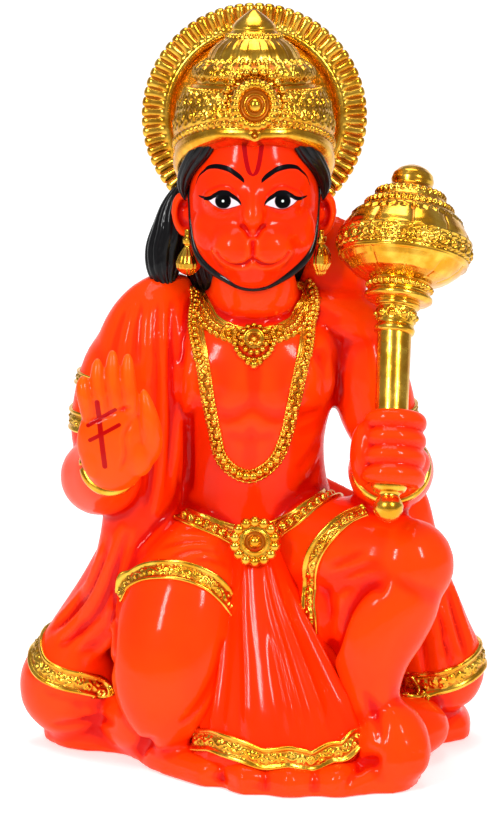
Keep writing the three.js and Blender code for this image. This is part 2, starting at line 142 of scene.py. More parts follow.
class Clay:
    """Forms under one skin of small faces, while it is worked: its points, and which of them are joined."""

    def __init__(self, bm, grain):
        mesh = bpy.data.meshes.new("clay")
        bm.to_mesh(mesh)
        bm.free()
        lump = bpy.data.objects.new("clay", mesh)
        scene.collection.objects.link(lump)
        skin = lump.modifiers.new("skin", "REMESH")
        skin.mode = "VOXEL"
        skin.voxel_size = grain
        ready = lump.evaluated_get(bpy.context.evaluated_depsgraph_get())
        self.mesh = bpy.data.meshes.new_from_object(ready)
        bpy.data.objects.remove(lump)
        self.points = np.empty((len(self.mesh.vertices), 3), np.float32)
        self.mesh.vertices.foreach_get("co", self.points.ravel())
        self.points = self.points.astype(float)
        self.joins = np.empty((len(self.mesh.edges), 2), np.int32)
        self.mesh.edges.foreach_get("vertices", self.joins.ravel())
        self.settle()

    def settle(self):
        """Puts the points into the mesh, and reads the way that each of them faces."""
        self.mesh.vertices.foreach_set("co", self.points.astype(np.float32).ravel())
        self.mesh.update()
        self.faces = np.empty((len(self.points), 3), np.float32)
        self.mesh.vertex_normals.foreach_get("vector", self.faces.ravel())

    def evened(self, values, times):
        """Values, a row for each point, brought halfway to their neighbours' mean several times over."""
        one, other = self.joins.T
        count = len(self.points)
        joined = np.bincount(self.joins.ravel(), minlength=count).clip(1)
        for _ in range(times):
            for column in values.T:
                total = np.bincount(one, column[other], count) + np.bincount(other, column[one], count)
                column += 0.5 * (total / joined - column)
        return values

    def smooth(self, times, where=1.0):
        self.points += np.reshape(where, (-1, 1)) * (self.evened(self.points.copy(), times) - self.points)
        self.settle()

    def surface(self):
        corners = [tuple(face.vertices) for face in self.mesh.polygons]
        return BVHTree.FromPolygons(self.points.tolist(), corners)

    def near(self, line, width):
        """How close each point is to a line: 1 on it, 0 at a width from it. Also its share along the line."""
        line = np.array(line, float)
        closeness = np.zeros(len(self.points))
        along = np.zeros(len(self.points))
        low, high = line.min(0) - width, line.max(0) + width
        where = np.flatnonzero(((self.points > low) & (self.points < high)).all(1))
        spots = self.points[where]
        best = np.full(len(where), np.inf)
        place = np.zeros(len(where))
        for i, (start, end) in enumerate(zip(line[:-1], line[1:])):
            step = end - start
            share_of_step = ((spots - start) @ step / (step @ step)).clip(0, 1)
            distance = np.linalg.norm(spots - start - share_of_step[:, None] * step, axis=1)
            closer = distance < best
            best[closer] = distance[closer]
            place[closer] = (i + share_of_step[closer]) / (len(line) - 1)
        closeness[where] = (1 - best / width).clip(0)
        along[where] = place
        return closeness, along

    def stroke(self, line, width, height, fade=(0.15, 0.15)):
        """Raises a ridge along a line on the skin, or digs a groove where the height is below 0."""
        closeness, along = self.near(line, width)
        ends = (along / fade[0]).clip(0, 1) * ((1 - along) / fade[1]).clip(0, 1)
        rounded = closeness * closeness * (3 - 2 * closeness)
        amount = height * rounded * np.sqrt(ends)
        self.points += self.faces * amount[:, None]

    def hollows(self, times):
        """How far each point stands out from its surroundings: below 0 in a groove, above 0 on a ridge."""
        even = self.evened(self.points.copy(), times)
        return ((self.points - even) * self.faces).sum(1)


figure = bmesh.new()

# The torso is bare but for its ornaments: a broad chest over a narrow waist.
trunk = [
    [0, 4, 52, 27, 17], [0, 3, 70, 29, 20], [0, 3, 84, 28, 19.5], [0, 2, 94, 24.4, 18],
    [0, 0, 108, 23.6, 18.4], [0, -1, 122, 27, 20], [-1, 0, 136, 32, 19.6], [-1, 2, 148, 31, 15],
    [0, 2, 160, 17, 11],
]
limb(figure, trunk, sides=48, blunt=3)
bulge(figure, (-12, -9, 128), (15, 10.4, 13))
bulge(figure, (12, -9, 128), (15, 10.4, 13))
neck = [
    [0, -1, 148, 17.4, 14], [0, -4, 160, 14, 12.5], [0, -6, 172, 13, 13],
]
limb(figure, neck)
bare_shoulder = [
    [4, 4, 151, 10, 9.6], [18, 4, 149.6, 10.4, 9.8], [30, 3, 147, 11, 10], [39, 3, 141, 10, 9.4],
    [45, 3, 133, 9, 9],
]
limb(figure, bare_shoulder, facing=upward)

# The arm on the -X side is raised in blessing.
# Its upper arm hangs under the shawl, and its forearm comes ahead.
blessing_arm = [
    [-38, 2, 144, 10.5, 11], [-46.5, 1, 132, 10, 11.5], [-51, -2, 114, 10, 11.5], [-51, -8, 97, 11.4, 12],
]
limb(figure, blessing_arm)
blessing_forearm = [
    [-50.5, 2, 96, 10.5, 11], [-51, -12, 96.4, 13.8, 13.6], [-48, -26, 100, 11.5, 12],
    [-45.5, -38, 105, 8.4, 9], [-44.6, -44, 109, 7, 5],
]
limb(figure, blessing_forearm, facing=upward)

# The other arm is bare. It bends forward and grips the mace.
mace_arm = [
    [33, 2, 148, 12, 12], [37, 3, 132, 13.4, 13], [41, 3, 117, 13, 12.5], [44.5, 1, 106, 11.6, 12],
    [47.6, -5, 97, 11.4, 12],
]
limb(figure, mace_arm)
mace_forearm = [
    [47, 4, 98, 11, 11], [45.5, -9, 98.5, 14.4, 13.6], [44.4, -22, 100, 13.6, 13],
    [44, -34, 105, 10.4, 10], [44, -41, 108, 8, 8],
]
limb(figure, mace_forearm, facing=upward)

# The leg on the -X side kneels, with its shin folded back along the ground.
kneeling_thigh = [
    [-11, 0, 80, 17, 17], [-17, -6, 70, 20, 19.6], [-22.4, -15, 56, 21, 20], [-26, -21.4, 40, 21.4, 19.6],
    [-28.4, -27, 24, 19.6, 17], [-29.6, -30, 9, 14, 11],
]
limb(figure, kneeling_thigh, sides=48, steps=56, blunt=2.6)
kneeling_shin = [
    [-34, -24, 14, 11, 12], [-42, 0, 13, 12, 13], [-48, 24, 11, 10, 11],
]
limb(figure, kneeling_shin, facing=upward)

# The other knee is raised. It is round and heavy, and its calf presses against the thigh.
raised_thigh = [
    [4, 4, 74, 15, 16], [18, -8, 73, 17, 18], [34, -19, 71, 18, 18.4], [48, -29, 71.6, 16.4, 16],
    [59, -36, 71, 13, 12.6],
]
limb(figure, raised_thigh, facing=upward)
bulge(figure, (49.8, -31, 71), (15.2, 14, 15.2))
bulge(figure, (27, -21, 52), (14, 12, 20))
bulge(figure, (37, -28, 60), (13, 12.6, 12))
raised_shin = [
    [40, -36, 14, 10, 10], [38.4, -36.4, 28, 10, 10.6], [38.2, -36, 42, 13, 12], [42, -34, 54, 15.6, 14],
    [47, -32, 65, 16.6, 15], [49.6, -30, 76, 13.4, 14],
]
limb(figure, raised_shin)
foot = [
    [40, -30, 24, 9, 12], [43.6, -38, 17, 12, 12.6], [46.4, -45, 11, 11.6, 10.4], [47, -53, 5, 9.6, 6],
]
limb(figure, foot, facing=upward)

# The shawl covers the blessing shoulder, crosses the back and spreads over the ground on both sides.
back_folds = 12
shawl_back = [
    [0, 22, 4, 66, 21], [0, 22, 18, 71.4, 23], [0, 21, 34, 67, 21], [1, 20, 52, 58.6, 18],
    [-4, 18, 72, 43, 15], [-8, 16, 88, 27, 13], [-11, 15, 102, 26, 12.5], [-14, 14, 120, 28, 12],
    [-17, 12, 138, 25, 11], [-19, 6, 155, 14, 8],
]


def back_fold(angle, along):
    return 1.6 * (1 - along) * np.cos(back_folds * angle)


limb(figure, shawl_back, sides=240, steps=80, blunt=5, relief=back_fold)
shawl_front = [
    [-21, 5, 160, 8, 8], [-28, 2, 154, 14.4, 11], [-34, -1, 143, 17.4, 13.4], [-37, -2, 128, 17.6, 14],
    [-38, -3, 112, 16.4, 13.6], [-38, -5, 96, 13.4, 12.6], [-38.6, -6, 82, 12, 12], [-43, -6, 64, 12, 12],
    [-50, -4, 46, 13.4, 12], [-57, 0, 32, 14, 13],
]
limb(figure, shawl_front, sides=60, steps=80)
sleeve = [
    [-54, 4, 92, 8, 12], [-52.5, 3, 110, 8.6, 12.5], [-46, 2, 132, 9.4, 13], [-37, 2, 144, 10, 12],
    [-28, 3, 150, 9, 10],
]
limb(figure, sleeve)
heap_left = [
    [-58, 8, 5, 15, 14], [-60.4, 5, 14, 18.6, 17], [-61.4, 3, 24, 18, 16], [-58.6, 3, 36, 12.8, 14],
    [-51, 4, 56, 9, 12], [-45.4, 5, 76, 7, 10],
]
limb(figure, heap_left)
heap_right = [
    [58, 14, 3, 13, 12], [60, 13, 15, 15, 14], [62.6, 11, 25, 17.2, 15], [60, 11, 38, 14, 14],
    [53, 12, 62, 12, 12], [50, 9, 84, 11, 10], [48.4, 8, 93, 10, 9],
]
limb(figure, heap_right)
bulge(figure, (51, -9, 10), (15, 15, 10))

# Between the head and the mace's ball the casting keeps a web of resin.
bulge(figure, (26.6, 3, 162), (11.4, 6, 19))

# The ground is a low slab with a soft edge, flat underneath.
ground_thickness = 9
ground_outline = [
    [-72, 8], [-62, -4], [-44, -10], [-34, -27], [-24, -38], [-17, -45], [-11, -46], [-5, -53],
    [3, -53.4], [11, -57.4], [19, -55.2], [27, -57], [36, -53.4], [50, -49], [56, -30], [60, -2],
    [74, 10], [70, 34], [30, 45], [-30, 45], [-70, 34], [-72, 8],
]
outline = spline(ground_outline, np.linspace(0, 1, 121)[:-1])
slab = figure.faces.new([figure.verts.new((x, y, 0)) for x, y in outline])
raised = bmesh.ops.extrude_face_region(figure, geom=[slab])["geom"]
top = [part for part in raised if isinstance(part, bmesh.types.BMFace)]
bmesh.ops.translate(figure, vec=(0, 0, ground_thickness), verts=list(top[0].verts))
rim = list(top[0].edges)
half_thick = ground_thickness / 2
bmesh.ops.bevel(figure, geom=rim, offset=half_thick, segments=5, profile=0.5, affect="EDGES", material=-1)

body = Clay(figure, grain=1.4)
body.smooth(5)
bare_skin = body.surface()


def seen(surface, x, z):
    """The point of a surface that is seen at x and z in the front view."""
    far_ahead = -200
    return surface.ray_cast(Vector((x, far_ahead, z)), Vector((0, 1, 0)))[0]


def laid(surface, line, count=40):
    """Points of the front view, [x, z], carried back onto a surface."""
    found = [seen(surface, x, z) for x, z in spline(line, np.linspace(0, 1, count))]
    return [tuple(hit) for hit in found if hit]


def worked(clay, surface, strokes, fade=(0.2, 0.2)):
    """Draws strokes over the front. Each is its width, its height, and its points as x, z."""
    for width, height, *line in strokes:
        clay.stroke(laid(surface, line), width, height, fade=fade)


# The shawl hangs from the shoulder in long soft folds, and sweeps out to the ground.
shawl_folds = [
    (
        2.6, 1.1, [-19, 153], [-20.5, 139], [-22.3, 117], [-24, 101], [-25.4, 87], [-29, 81], [-35.4, 74],
        [-41, 67],
    ),
    (3.4, -1.5, [-21.6, 118], [-21.2, 104], [-21.4, 90]),
    (3, 0.9, [-25, 154], [-25.5, 137], [-25, 113], [-26.6, 90]),
    (2.4, -0.9, [-27, 154], [-27.5, 138], [-27.2, 114], [-28.6, 92]),
    (3, 0.9, [-29.4, 155], [-29.6, 140], [-29.6, 115.5], [-31, 96], [-33, 84]),
    (2.4, -0.8, [-31.8, 154], [-32, 140], [-31.8, 116], [-33.4, 96], [-36, 84]),
    (3, 0.8, [-34, 155], [-34.5, 145], [-34, 128]),
    (2.6, -0.7, [-36.4, 154], [-38, 145], [-38.6, 134]),
    (3.4, 0.8, [-38.6, 153.5], [-41, 145], [-42.4, 136]),
    (2.6, -0.6, [-41.4, 152], [-44.4, 144], [-46, 136]),
]
cloak_folds = [
    (2.8, 1.3, [-41, 67], [-44, 58], [-46.4, 47], [-49.5, 38], [-57, 33.4]),
    (3.2, -1.8, [-44.6, 62], [-45.6, 50], [-46.4, 40], [-47.6, 31]),
    (3, 1.2, [-39.4, 80], [-44.8, 60], [-50, 46.6], [-60.6, 37.6]),
    (2.4, -1.1, [-41.4, 79], [-46.4, 62.4], [-52.4, 49.6], [-60, 41.4], [-65, 38]),
    (3, 1.2, [-42.4, 82], [-47.2, 70], [-52.6, 56.6], [-60, 45.6], [-66.6, 40]),
    (2.6, -1.1, [-46.8, 76], [-50.6, 66], [-56, 54.6], [-63, 46], [-69, 41]),
    (3, 1.0, [-50, 73], [-55.4, 59], [-62, 49.6], [-69, 43]),
    (2.6, 1.1, [60, 48], [61.6, 38], [63.4, 28]),
    (2.2, -1.0, [62, 49], [64.2, 38], [66.4, 28]),
    (2.6, 1.1, [63.6, 50], [66.8, 38], [69.4, 29]),
    (2.2, -1.0, [65.6, 54], [69, 42], [72, 31.6]),
    (2.6, 1.0, [67, 56], [70.8, 44], [74.4, 34]),
    (2.6, -1.2, [55.4, 44], [57.3, 33], [58.6, 25.6]),
    (3, -0.5, [-71.6, 23.2], [-64.6, 21], [-57.6, 19.2], [-51, 17.4]),
    (2.6, 0.4, [-68, 17], [-61, 14.6], [-55, 14.4]),
    (2.4, -0.5, [-60.4, 20], [-57.6, 15.4], [-56, 11]),
]
worked(body, bare_skin, shawl_folds)
worked(body, bare_skin, cloak_folds)

# The chest is softly muscled, and the tight cloth is creased at the hips and behind the bent knee.
creases = [
    (4, -1.0, [-13.4, 119], [-8, 117.6], [-0.6, 120.4], [6.6, 117.6], [12.4, 118.6]),
    (3.6, -0.8, [0, 134.6], [0, 127], [-0.3, 120.6]),
    (3.2, -0.6, [-0.8, 116], [-1.2, 108], [-1.4, 101]),
    (3, -0.4, [-9, 111.6], [-1, 110.4], [7, 111.6]),
    (3, -0.7, [13.6, 117], [18.4, 117.8], [22.4, 119]),
    (2.8, -0.5, [14.6, 111.4], [19, 112.8], [22, 114.6]),
    (3, -0.7, [22.6, 101], [19.6, 96.6], [14.8, 91.4]),
    (2.8, -0.6, [21.6, 107.4], [17.8, 102.2], [14.4, 98.4]),
    (4.4, -1.2, [20.6, 139], [23.4, 131.4], [24.4, 122]),
    (3.4, 0.5, [18, 155], [24.6, 152.6], [31, 150]),
    (3, -0.6, [19, 151.6], [24.6, 149.6], [30, 147.4]),
]
wrinkles = [
    (2, -0.6, [-30.6, 74.4], [-22, 77], [-12, 76.4]),
    (2, -0.6, [-28, 72.4], [-19.2, 75], [-10.4, 73.4]),
    (1.8, 0.35, [-29.4, 73.4], [-20, 76], [-11, 75]),
    (2, -0.5, [-24, 80], [-16, 79.8], [-9, 77]),
    (1.8, -0.5, [-20.8, 72], [-14.4, 71.6], [-8.6, 69]),
    (5, -3, [42.7, 66.5], [37, 66.8], [32.3, 63], [28.3, 55.5], [25.8, 45.2], [24.8, 38]),
    (2.2, -0.6, [24.5, 71], [29.3, 73.6], [35.4, 77]),
    (2.2, 0.25, [24.6, 69], [30, 71.6], [36.4, 74.8]),
    (2.2, -0.6, [24.6, 66.6], [31.5, 70.4], [39.4, 73.6]),
    (2.2, 0.25, [25, 64.6], [32, 68.6], [39.6, 71.4]),
    (2, -0.5, [25.8, 62.6], [32.7, 66.8], [40, 69.4]),
    (3.6, -1.1, [-9.4, 47], [-11.6, 36], [-17.6, 25.6], [-25, 18.4]),
]
worked(body, bare_skin, creases)
worked(body, bare_skin, wrinkles, fade=(0.3, 0.3))

# The foot under the raised knee has low toes, and the ground is parted into soft lobes.
foot_marks = [
    (3, -1.2, [-11.4, 14], [-11, 7], [-11, 0.6]),
    (3, -1.2, [3, 13], [3.4, 6], [3.4, 0.6]),
    (3, -1.2, [19.6, 13], [19.4, 6], [19.4, 0.6]),
    (4, 0.7, [-4, 12], [-4, 1]),
    (4, 0.7, [11, 12], [11, 1]),
    (4, 0.7, [27, 12], [27, 1]),
    (3.2, -1.2, [35, 33.6], [38.6, 26], [41, 17]),
    (4, 0.5, [39.4, 34], [44.4, 26.6], [48.6, 19]),
    (1.7, -0.5, [49, 14.4], [52, 13.2], [55, 12.8]),
    (1.7, -0.5, [49, 10.4], [52, 9.6], [55, 9.2]),
    (1.7, -0.4, [48, 6.4], [51, 5.6], [54, 5.4]),
    (3.6, -1.7, [-32.4, 14.6], [-36.6, 8], [-38.6, 3]),
    (3.6, -1.5, [27.4, 2], [31.4, 6.8], [36.4, 10.4], [41, 12]),
    (3, -1.3, [-68.4, 10], [-58, 12], [-46, 13.4]),
    (2.6, -0.8, [-17, 5], [-9.4, 3.4], [2, 3]),
]
worked(body, bare_skin, foot_marks, fade=(0.3, 0.2))
body.smooth(1)

# It is sprayed red-orange and varnished; shade is painted deeper red into its folds, and highlight onto its
# crests.


class Wire:
    """One socket of a finish. Arithmetic on it adds the nodes that work it out."""

    def __init__(self, finish, socket):
        self.finish = finish
        self.socket = socket

    def sum(self, operation, *values):
        return self.finish.node("ShaderNodeMath", {"operation": operation}, *values)

    def __add__(self, other):
        return self.sum("ADD", self, other)

    def __sub__(self, other):
        return self.sum("SUBTRACT", self, other)

    def __rsub__(self, other):
        return self.sum("SUBTRACT", other, self)

    def __mul__(self, other):
        return self.sum("MULTIPLY", self, other)

    def __truediv__(self, other):
        return self.sum("DIVIDE", self, other)

    def __pow__(self, other):
        return self.sum("POWER", self, other)

    def __abs__(self):
        return self.sum("ABSOLUTE", self)

    __radd__ = __add__
    __rmul__ = __mul__


def colour(code):
    """A colour by its red, green and blue as they look on screen, from 0 to 255."""
    shown = (np.array(code) / 255).tolist()
    return (*(c / 12.92 if c < 0.04045 else ((c + 0.055) / 1.055) ** 2.4 for c in shown), 1)


class Finish:
    """A material on its surface shader, with the nodes that vary it."""

    def __init__(self, name, **surface):
        self.material = bpy.data.materials.new(name)
        self.material.use_nodes = True
        self.tree = self.material.node_tree
        self.surface = self.tree.nodes["Principled BSDF"]
        self.set(**surface)
        self.place = self.node("ShaderNodeTexCoord", {}, output="Object")
        part = {axis: self.node("ShaderNodeSeparateXYZ", {}, self.place, output=axis) for axis in "XYZ"}
        self.x, self.y, self.z = part["X"] / share, part["Y"] / share, part["Z"] / share

    def set(self, **surface):
        for name, value in surface.items():
            self.feed(self.surface.inputs[name.replace("_", " ").title().replace("Ior", "IOR")], value)

    def feed(self, socket, value):
        if isinstance(value, Wire):
            self.tree.links.new(value.socket, socket)
        else:
            socket.default_value = value

    def node(self, kind, settings, *values, output=0, **named):
        """A node, its settings first and then its sockets in order or by name. None leaves a socket alone."""
        made = self.tree.nodes.new(kind)
        for name, value in settings.items():
            if name == "curve":
                line = made.mapping.curves[0]
                while len(line.points) < len(value):
                    line.points.new(0.5, 0.5)
                for point, spot in zip(line.points, value):
                    point.location = spot
                made.mapping.update()
            else:
                setattr(made, name, value)
        for socket, value in zip(made.inputs, values):
            if value is not None:
                self.feed(socket, value)
        for name, value in named.items():
            self.feed(made.inputs[name], value)
        return Wire(self, made.outputs[output])

    def fade(self, value, start, end):
        """0 at the start and 1 at the end, smoothly between."""
        return self.node("ShaderNodeMapRange", {"interpolation_type": "SMOOTHSTEP"}, value, start, end, 0, 1)

    def blend(self, mask, under, over):
        """One colour where the mask is 0, and the other where it is 1."""
        other_kinds = [None] * 5
        return self.node("ShaderNodeMix", {"data_type": "RGBA"}, mask, *other_kinds, under, over, output=2)

    def noise(self, grain, detail=3.0):
        """Random cloudiness with lumps of about `grain` shares."""
        size = 1 / (grain * share)
        return self.node("ShaderNodeTexNoise", {}, self.place, Scale=size, Detail=detail)

    def bump(self, height, depth):
        return self.node("ShaderNodeBump", {}, Height=height, Strength=1.0, Distance=depth * share)

    def worn(self, name):
        """A value that the mesh holds at each of its points."""
        return self.node("ShaderNodeAttribute", {"attribute_name": name}, output="Fac")


def painted(finish, plain, deep, pale):
    """Sprayed paint, varnished and a little cloudy, with shade painted into grooves and highlight onto
    crests.
    """
    hollow = finish.worn("hollow")
    grooves = finish.blend(finish.fade(hollow, -0.06, -0.8), plain, deep)
    crests = finish.blend(finish.fade(hollow, 0.1, 0.6) * 0.4, grooves, pale)
    cloud = finish.fade(finish.noise(16), 0.35, 0.75)
    return finish.blend(cloud * 0.16, crests, deep)


# The paint's red-orange, a deeper red for painted shade and random clouds, and a pale orange for painted
# highlights.
red_orange = colour((250, 45, 0))
shade_and_cloud_red = colour((202, 10, 0))
highlight_orange = colour((255, 80, 6))
varnish = {
    "roughness": 0.45,
    "coat_weight": 0.5,
    "coat_ior": 1.32,
    "coat_roughness": 0.09,
    "specular_ior_level": 0.02,
}
paint = Finish("red_orange_paint", **varnish)
paint.set(base_color=painted(paint, red_orange, shade_and_cloud_red, highlight_orange))
paint.set(normal=paint.bump(paint.noise(2.4), 0.05))


def finished(mesh, name, finish):
    """Makes a worked mesh a piece of the figure, in metres, that moves with it."""
    mesh.name = name
    mesh.transform(Matrix.Scale(share, 4))
    mesh.shade_smooth()
    mesh.materials.append(finish.material)
    piece = bpy.data.objects.new(name, mesh)
    scene.collection.objects.link(piece)
    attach(piece, "root")
    return piece


def record(mesh, name, values):
    """Keeps a value for each point of a mesh, for its finish to read."""
    mesh.attributes.new(name, "FLOAT", "POINT").data.foreach_set("value", np.asarray(values, np.float32))


skin = body.surface()
# How hollow each point is, in small folds and in broad hollows, sets where shade and highlight are painted.
record(body.mesh, "hollow", body.hollows(14) + 0.5 * body.hollows(60))
figure_piece = finished(body.mesh, "painted_figure", paint)
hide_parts("hanuman_figure")

# The cloth between the legs is cast with the figure and sprayed the same. It falls from the belt and opens
# like a fan, in thin sharp pleats.
pleats = [
    (-1.16, 0.8, 0.9), (-0.9, 1, 0.95), (-0.66, 0.4, 0.6), (-0.4, 1.1, 1), (-0.12, 0.35, 0.45),
    (0.06, 0.9, 0.7), (0.22, 0.8, 0.95), (0.45, 1.1, 1), (0.68, 0.35, 0.4), (0.84, 1.1, 0.85),
    (1.1, 0.6, 0.6),
]
cloth = [
    [11, -24, 5, 33, 24], [11, -24.6, 11, 34, 27], [9.4, -24.6, 22, 28.6, 24.4], [6, -22, 40, 20.4, 19],
    [2.4, -18, 58, 13.4, 15.6], [0, -14, 78, 8.6, 12.4],
]


def pleated(angle, along):
    """Each pleat is at an angle from the middle, and has a height and how far up the cloth it reaches."""
    valley = -0.5
    lift = np.full(len(angle), valley)
    for place, height, top in pleats:
        near = (1 - abs(angle - place) / 0.18).clip(0) ** 2.6
        reach = ((top - along) / 0.16).clip(0, 1)
        lift = np.maximum(lift, height * near * reach * 2 + valley)
    fanned = 0.45 + 1.1 * (1 - along)
    above_hem = ((along - 0.33) / 0.1).clip(0.25, 1)
    in_front = abs(angle) < 1.45
    return (lift + 0.4) * fanned * above_hem * in_front


drape = bmesh.new()
limb(drape, cloth, sides=300, steps=72, blunt=5, relief=pleated)


def closed(bm):
    """The mesh of loose forms that keep their own skins, with their faces turned outwards."""
    bmesh.ops.recalc_face_normals(bm, faces=bm.faces)
    mesh = bpy.data.meshes.new("form")
    bm.to_mesh(mesh)
    bm.free()
    return mesh


def scalloped(angle, along):
    """The softer waves that the hem rides on."""
    return 0.8 + 0.35 * np.cos(9 * angle)


cloth_mesh = closed(drape)
scallops = bmesh.new()
limb(scallops, cloth, sides=160, steps=50, blunt=5, relief=scalloped)
cloth_skin = BVHTree.FromBMesh(scallops)
scallops.free()
record(cloth_mesh, "hollow", np.zeros(len(cloth_mesh.vertices)))
finished(cloth_mesh, "front_cloth", paint)

# The head is part of the same casting, worked more finely: a round monkey's face with a broad soft muzzle,
# and ears at its sides. It is sprayed as the body is.
face_middle = -0.4
eye_side = 9.5
eye_height = 188.3
head = bmesh.new()
skull = [
    [0, -11, 157.4, 19, 17], [0, -9.6, 168.2, 21.8, 17.6], [0, -8.6, 179, 21.2, 17.6],
    [0, -8, 189.8, 21, 18], [0, -7, 200.6, 21, 18.6], [0, -6, 211.4, 21, 18.6], [0, -5, 222, 20, 18],
]
limb(head, skull, sides=72, steps=64)
bulge(head, (face_middle, -20, 172.6), (13.4, 9.6, 9.6))
bulge(head, (face_middle, -19.4, 165), (9, 6.6, 6))
nose = [
    [face_middle, -25.4, 194, 2.6, 2], [face_middle, -26.6, 188.4, 3.2, 2.4],
    [face_middle, -28.2, 182.8, 4, 3.2], [face_middle, -28, 179.4, 3.8, 3],
]
limb(head, nose)
for turn in (-1, 1):
    bulge(head, (face_middle + turn * 5.4, -23.8, 173.2), (8.2, 6.6, 7.2))
    bulge(head, (turn * 10.6, -16, 178.4), (9.4, 7.4, 11))
    bulge(head, (face_middle + turn * eye_side, -22.3, eye_height), (7, 4, 4.3))
    bulge(head, (turn * 22.6, -5, 181), (3.8, 2.6, 6.6))
    ear_rim = [
        [turn * 21, -8, 187, 1.4, 1.6], [turn * 23.4, -8.2, 188.6, 1.4, 1.6],
        [turn * 25.2, -7.4, 186.4, 1.4, 1.6], [turn * 25.6, -7, 182, 1.4, 1.6],
        [turn * 24.2, -7.4, 177.6, 1.5, 1.6], [turn * 21.8, -8.4, 175, 1.8, 1.8],
    ]
    limb(head, ear_rim)
face = Clay(head, grain=0.5)
face.smooth(12)
side = abs(face.points[:, 0] - face_middle)
front = ((-13 - face.points[:, 1]) / 4).clip(0, 1) * ((18 - side) / 3).clip(0, 1)
face.smooth(92, front)
face_skin = face.surface()
mouth = [
    [-12.3, 172.4], [-11.4, 170.4], [-9.4, 168.6], [-6.4, 167.6], [-3, 168], [-0.4, 169.6],
    [2.4, 168], [5.6, 167.6], [8.6, 168.6], [10.6, 170.4], [11.5, 172.4],
]
face.stroke(laid(face_skin, mouth, 90), 1.4, -1.7, fade=(0.12, 0.12))
face.stroke(laid(face_skin, [[face_middle, 176.6], [face_middle, 169.6]]), 1.3, -1.3, fade=(0.15, 0.02))

# On each side: the nostril's wing, the cheek, the lids, and the ridge under the brow.
# Each is how many points lay it, its width, its height, how its ends fade, and its stops.
face_lines = [
    (24, 1.5, -0.9, (0.15, 0.3), [0.6, 176.6], [2, 179], [3.4, 180.4], [4.6, 180.2]),
    (24, 2.6, -0.15, (0.3, 0.4), [12.4, 174.4], [12.6, 177.6], [11, 180.6]),
    (40, 1.2, -0.4, (0.25, 0.25), [3.6, 188.8], [6.4, 192], [9.5, 193.2], [13, 192.2], [16.4, 190.6]),
    (40, 1.2, -0.3, (0.3, 0.3), [5.4, 186], [9.5, 184.4], [14, 186.4]),
    (40, 1.8, 0.35, (0.1, 0.3), [3.2, 194.9], [8.8, 198.4], [13, 199], [17, 196.6]),
]
for turn in (-1, 1):
    for count, width, depth, fade, *line in face_lines:
        own_side = [[face_middle + turn * x, z] for x, z in line]
        face.stroke(laid(face_skin, own_side, count), width, depth, fade=fade)
    ear_hole = [[turn * 21.8, 184.6], [turn * 23.4, 185], [turn * 23.8, 181.4], [turn * 22.2, 178]]
    face.stroke(laid(face_skin, ear_hole, 30), 2, -0.9)
face.smooth(2)
face_skin = face.surface()
# The face's creases, such as its mouth line, take the painted shade more strongly than the body's.
record(face.mesh, "hollow", 2.4 * face.hollows(24) + 0.1 * face.hollows(60))

# Its eyes, brows and forehead mark are painted by hand over the varnish, with a fine brush.
face_paint = Finish("painted_face", **varnish)
side = abs(face_paint.x - face_middle)
height = face_paint.z


def curve(finish, value, stops):
    """A value read off a curve through stops, each a value and what it becomes."""
    (x0, x1), (y0, y1) = [(min(column), max(column)) for column in zip(*stops)]
    spots = [((x - x0) / (x1 - x0), (y - y0) / (y1 - y0)) for x, y in stops]
    read = finish.node("ShaderNodeFloatCurve", {"curve": spots}, 1.0, (value - x0) / (x1 - x0))
    return read * (y1 - y0) + y0


front_only = face_paint.fade(face_paint.y, -11, -13)
upper = [(3.6, 187.2), (6.4, 189.8), (9.4, 190.9), (12.2, 190), (14.2, 189), (15.6, 188.9), (17.4, 189.3)]
lower = [(3.6, 187.3), (6.2, 186.3), (9.4, 185.7), (12, 186.6), (14.6, 188.6), (17.4, 190)]
upper_lid = curve(face_paint, side, upper)
lower_lid = curve(face_paint, side, lower)
opening = face_paint.fade(upper_lid - height, 0, 0.3) * face_paint.fade(height - lower_lid, 0, 0.3)
white = opening * face_paint.fade(side, 15, 14.6)
iris_distance = ((side - eye_side) ** 2 + (height - eye_height) ** 2) ** 0.5
iris = face_paint.fade(iris_distance, 2.75, 2.4)
# Each iris has a painted glint, a reflection of the light.
glint = face_paint.fade(iris_distance, 0.5, 0.3)
lash_stops = [(3.4, 0.3), (5, 0.66), (9.4, 0.8), (13.4, 0.66), (16, 0.38), (17.6, 0.15)]
lash_width = curve(face_paint, side, lash_stops)
lash = face_paint.fade(abs(height - upper_lid) / lash_width, 1.25, 0.9) * face_paint.fade(side, 3.4, 3.9)
lash = lash * face_paint.fade(side, 17.6, 17.2)
brow_arch = [(2.8, 194.7), (5.6, 197), (9, 198.7), (12.6, 199), (15.8, 197.2), (18, 193.8)]
brow_widths = [(2.6, 0.2), (3.2, 0.75), (4.2, 0.9), (9, 0.85), (12.6, 0.7), (15.8, 0.45), (18.2, 0.2)]
brow_line = curve(face_paint, side, brow_arch)
brow_width = curve(face_paint, side, brow_widths)
brow = face_paint.fade(abs(height - brow_line) / brow_width, 1.2, 0.9)
brow = brow * face_paint.fade(side, 2.6, 2.8) * face_paint.fade(side, 18.6, 18.2)
arm_of_mark = curve(face_paint, height, [(196.4, 0), (197.4, 1.1), (199.5, 1.8), (206, 2.8)])
mark = face_paint.fade(abs(side - arm_of_mark), 0.85, 0.65) * face_paint.fade(height, 195.6, 196.2)
under_line = face_paint.fade(abs(height - lower_lid), 0.4, 0.15) * face_paint.fade(side, 15.4, 14.8)
under_line = under_line * face_paint.fade(side, 4.4, 5.4)
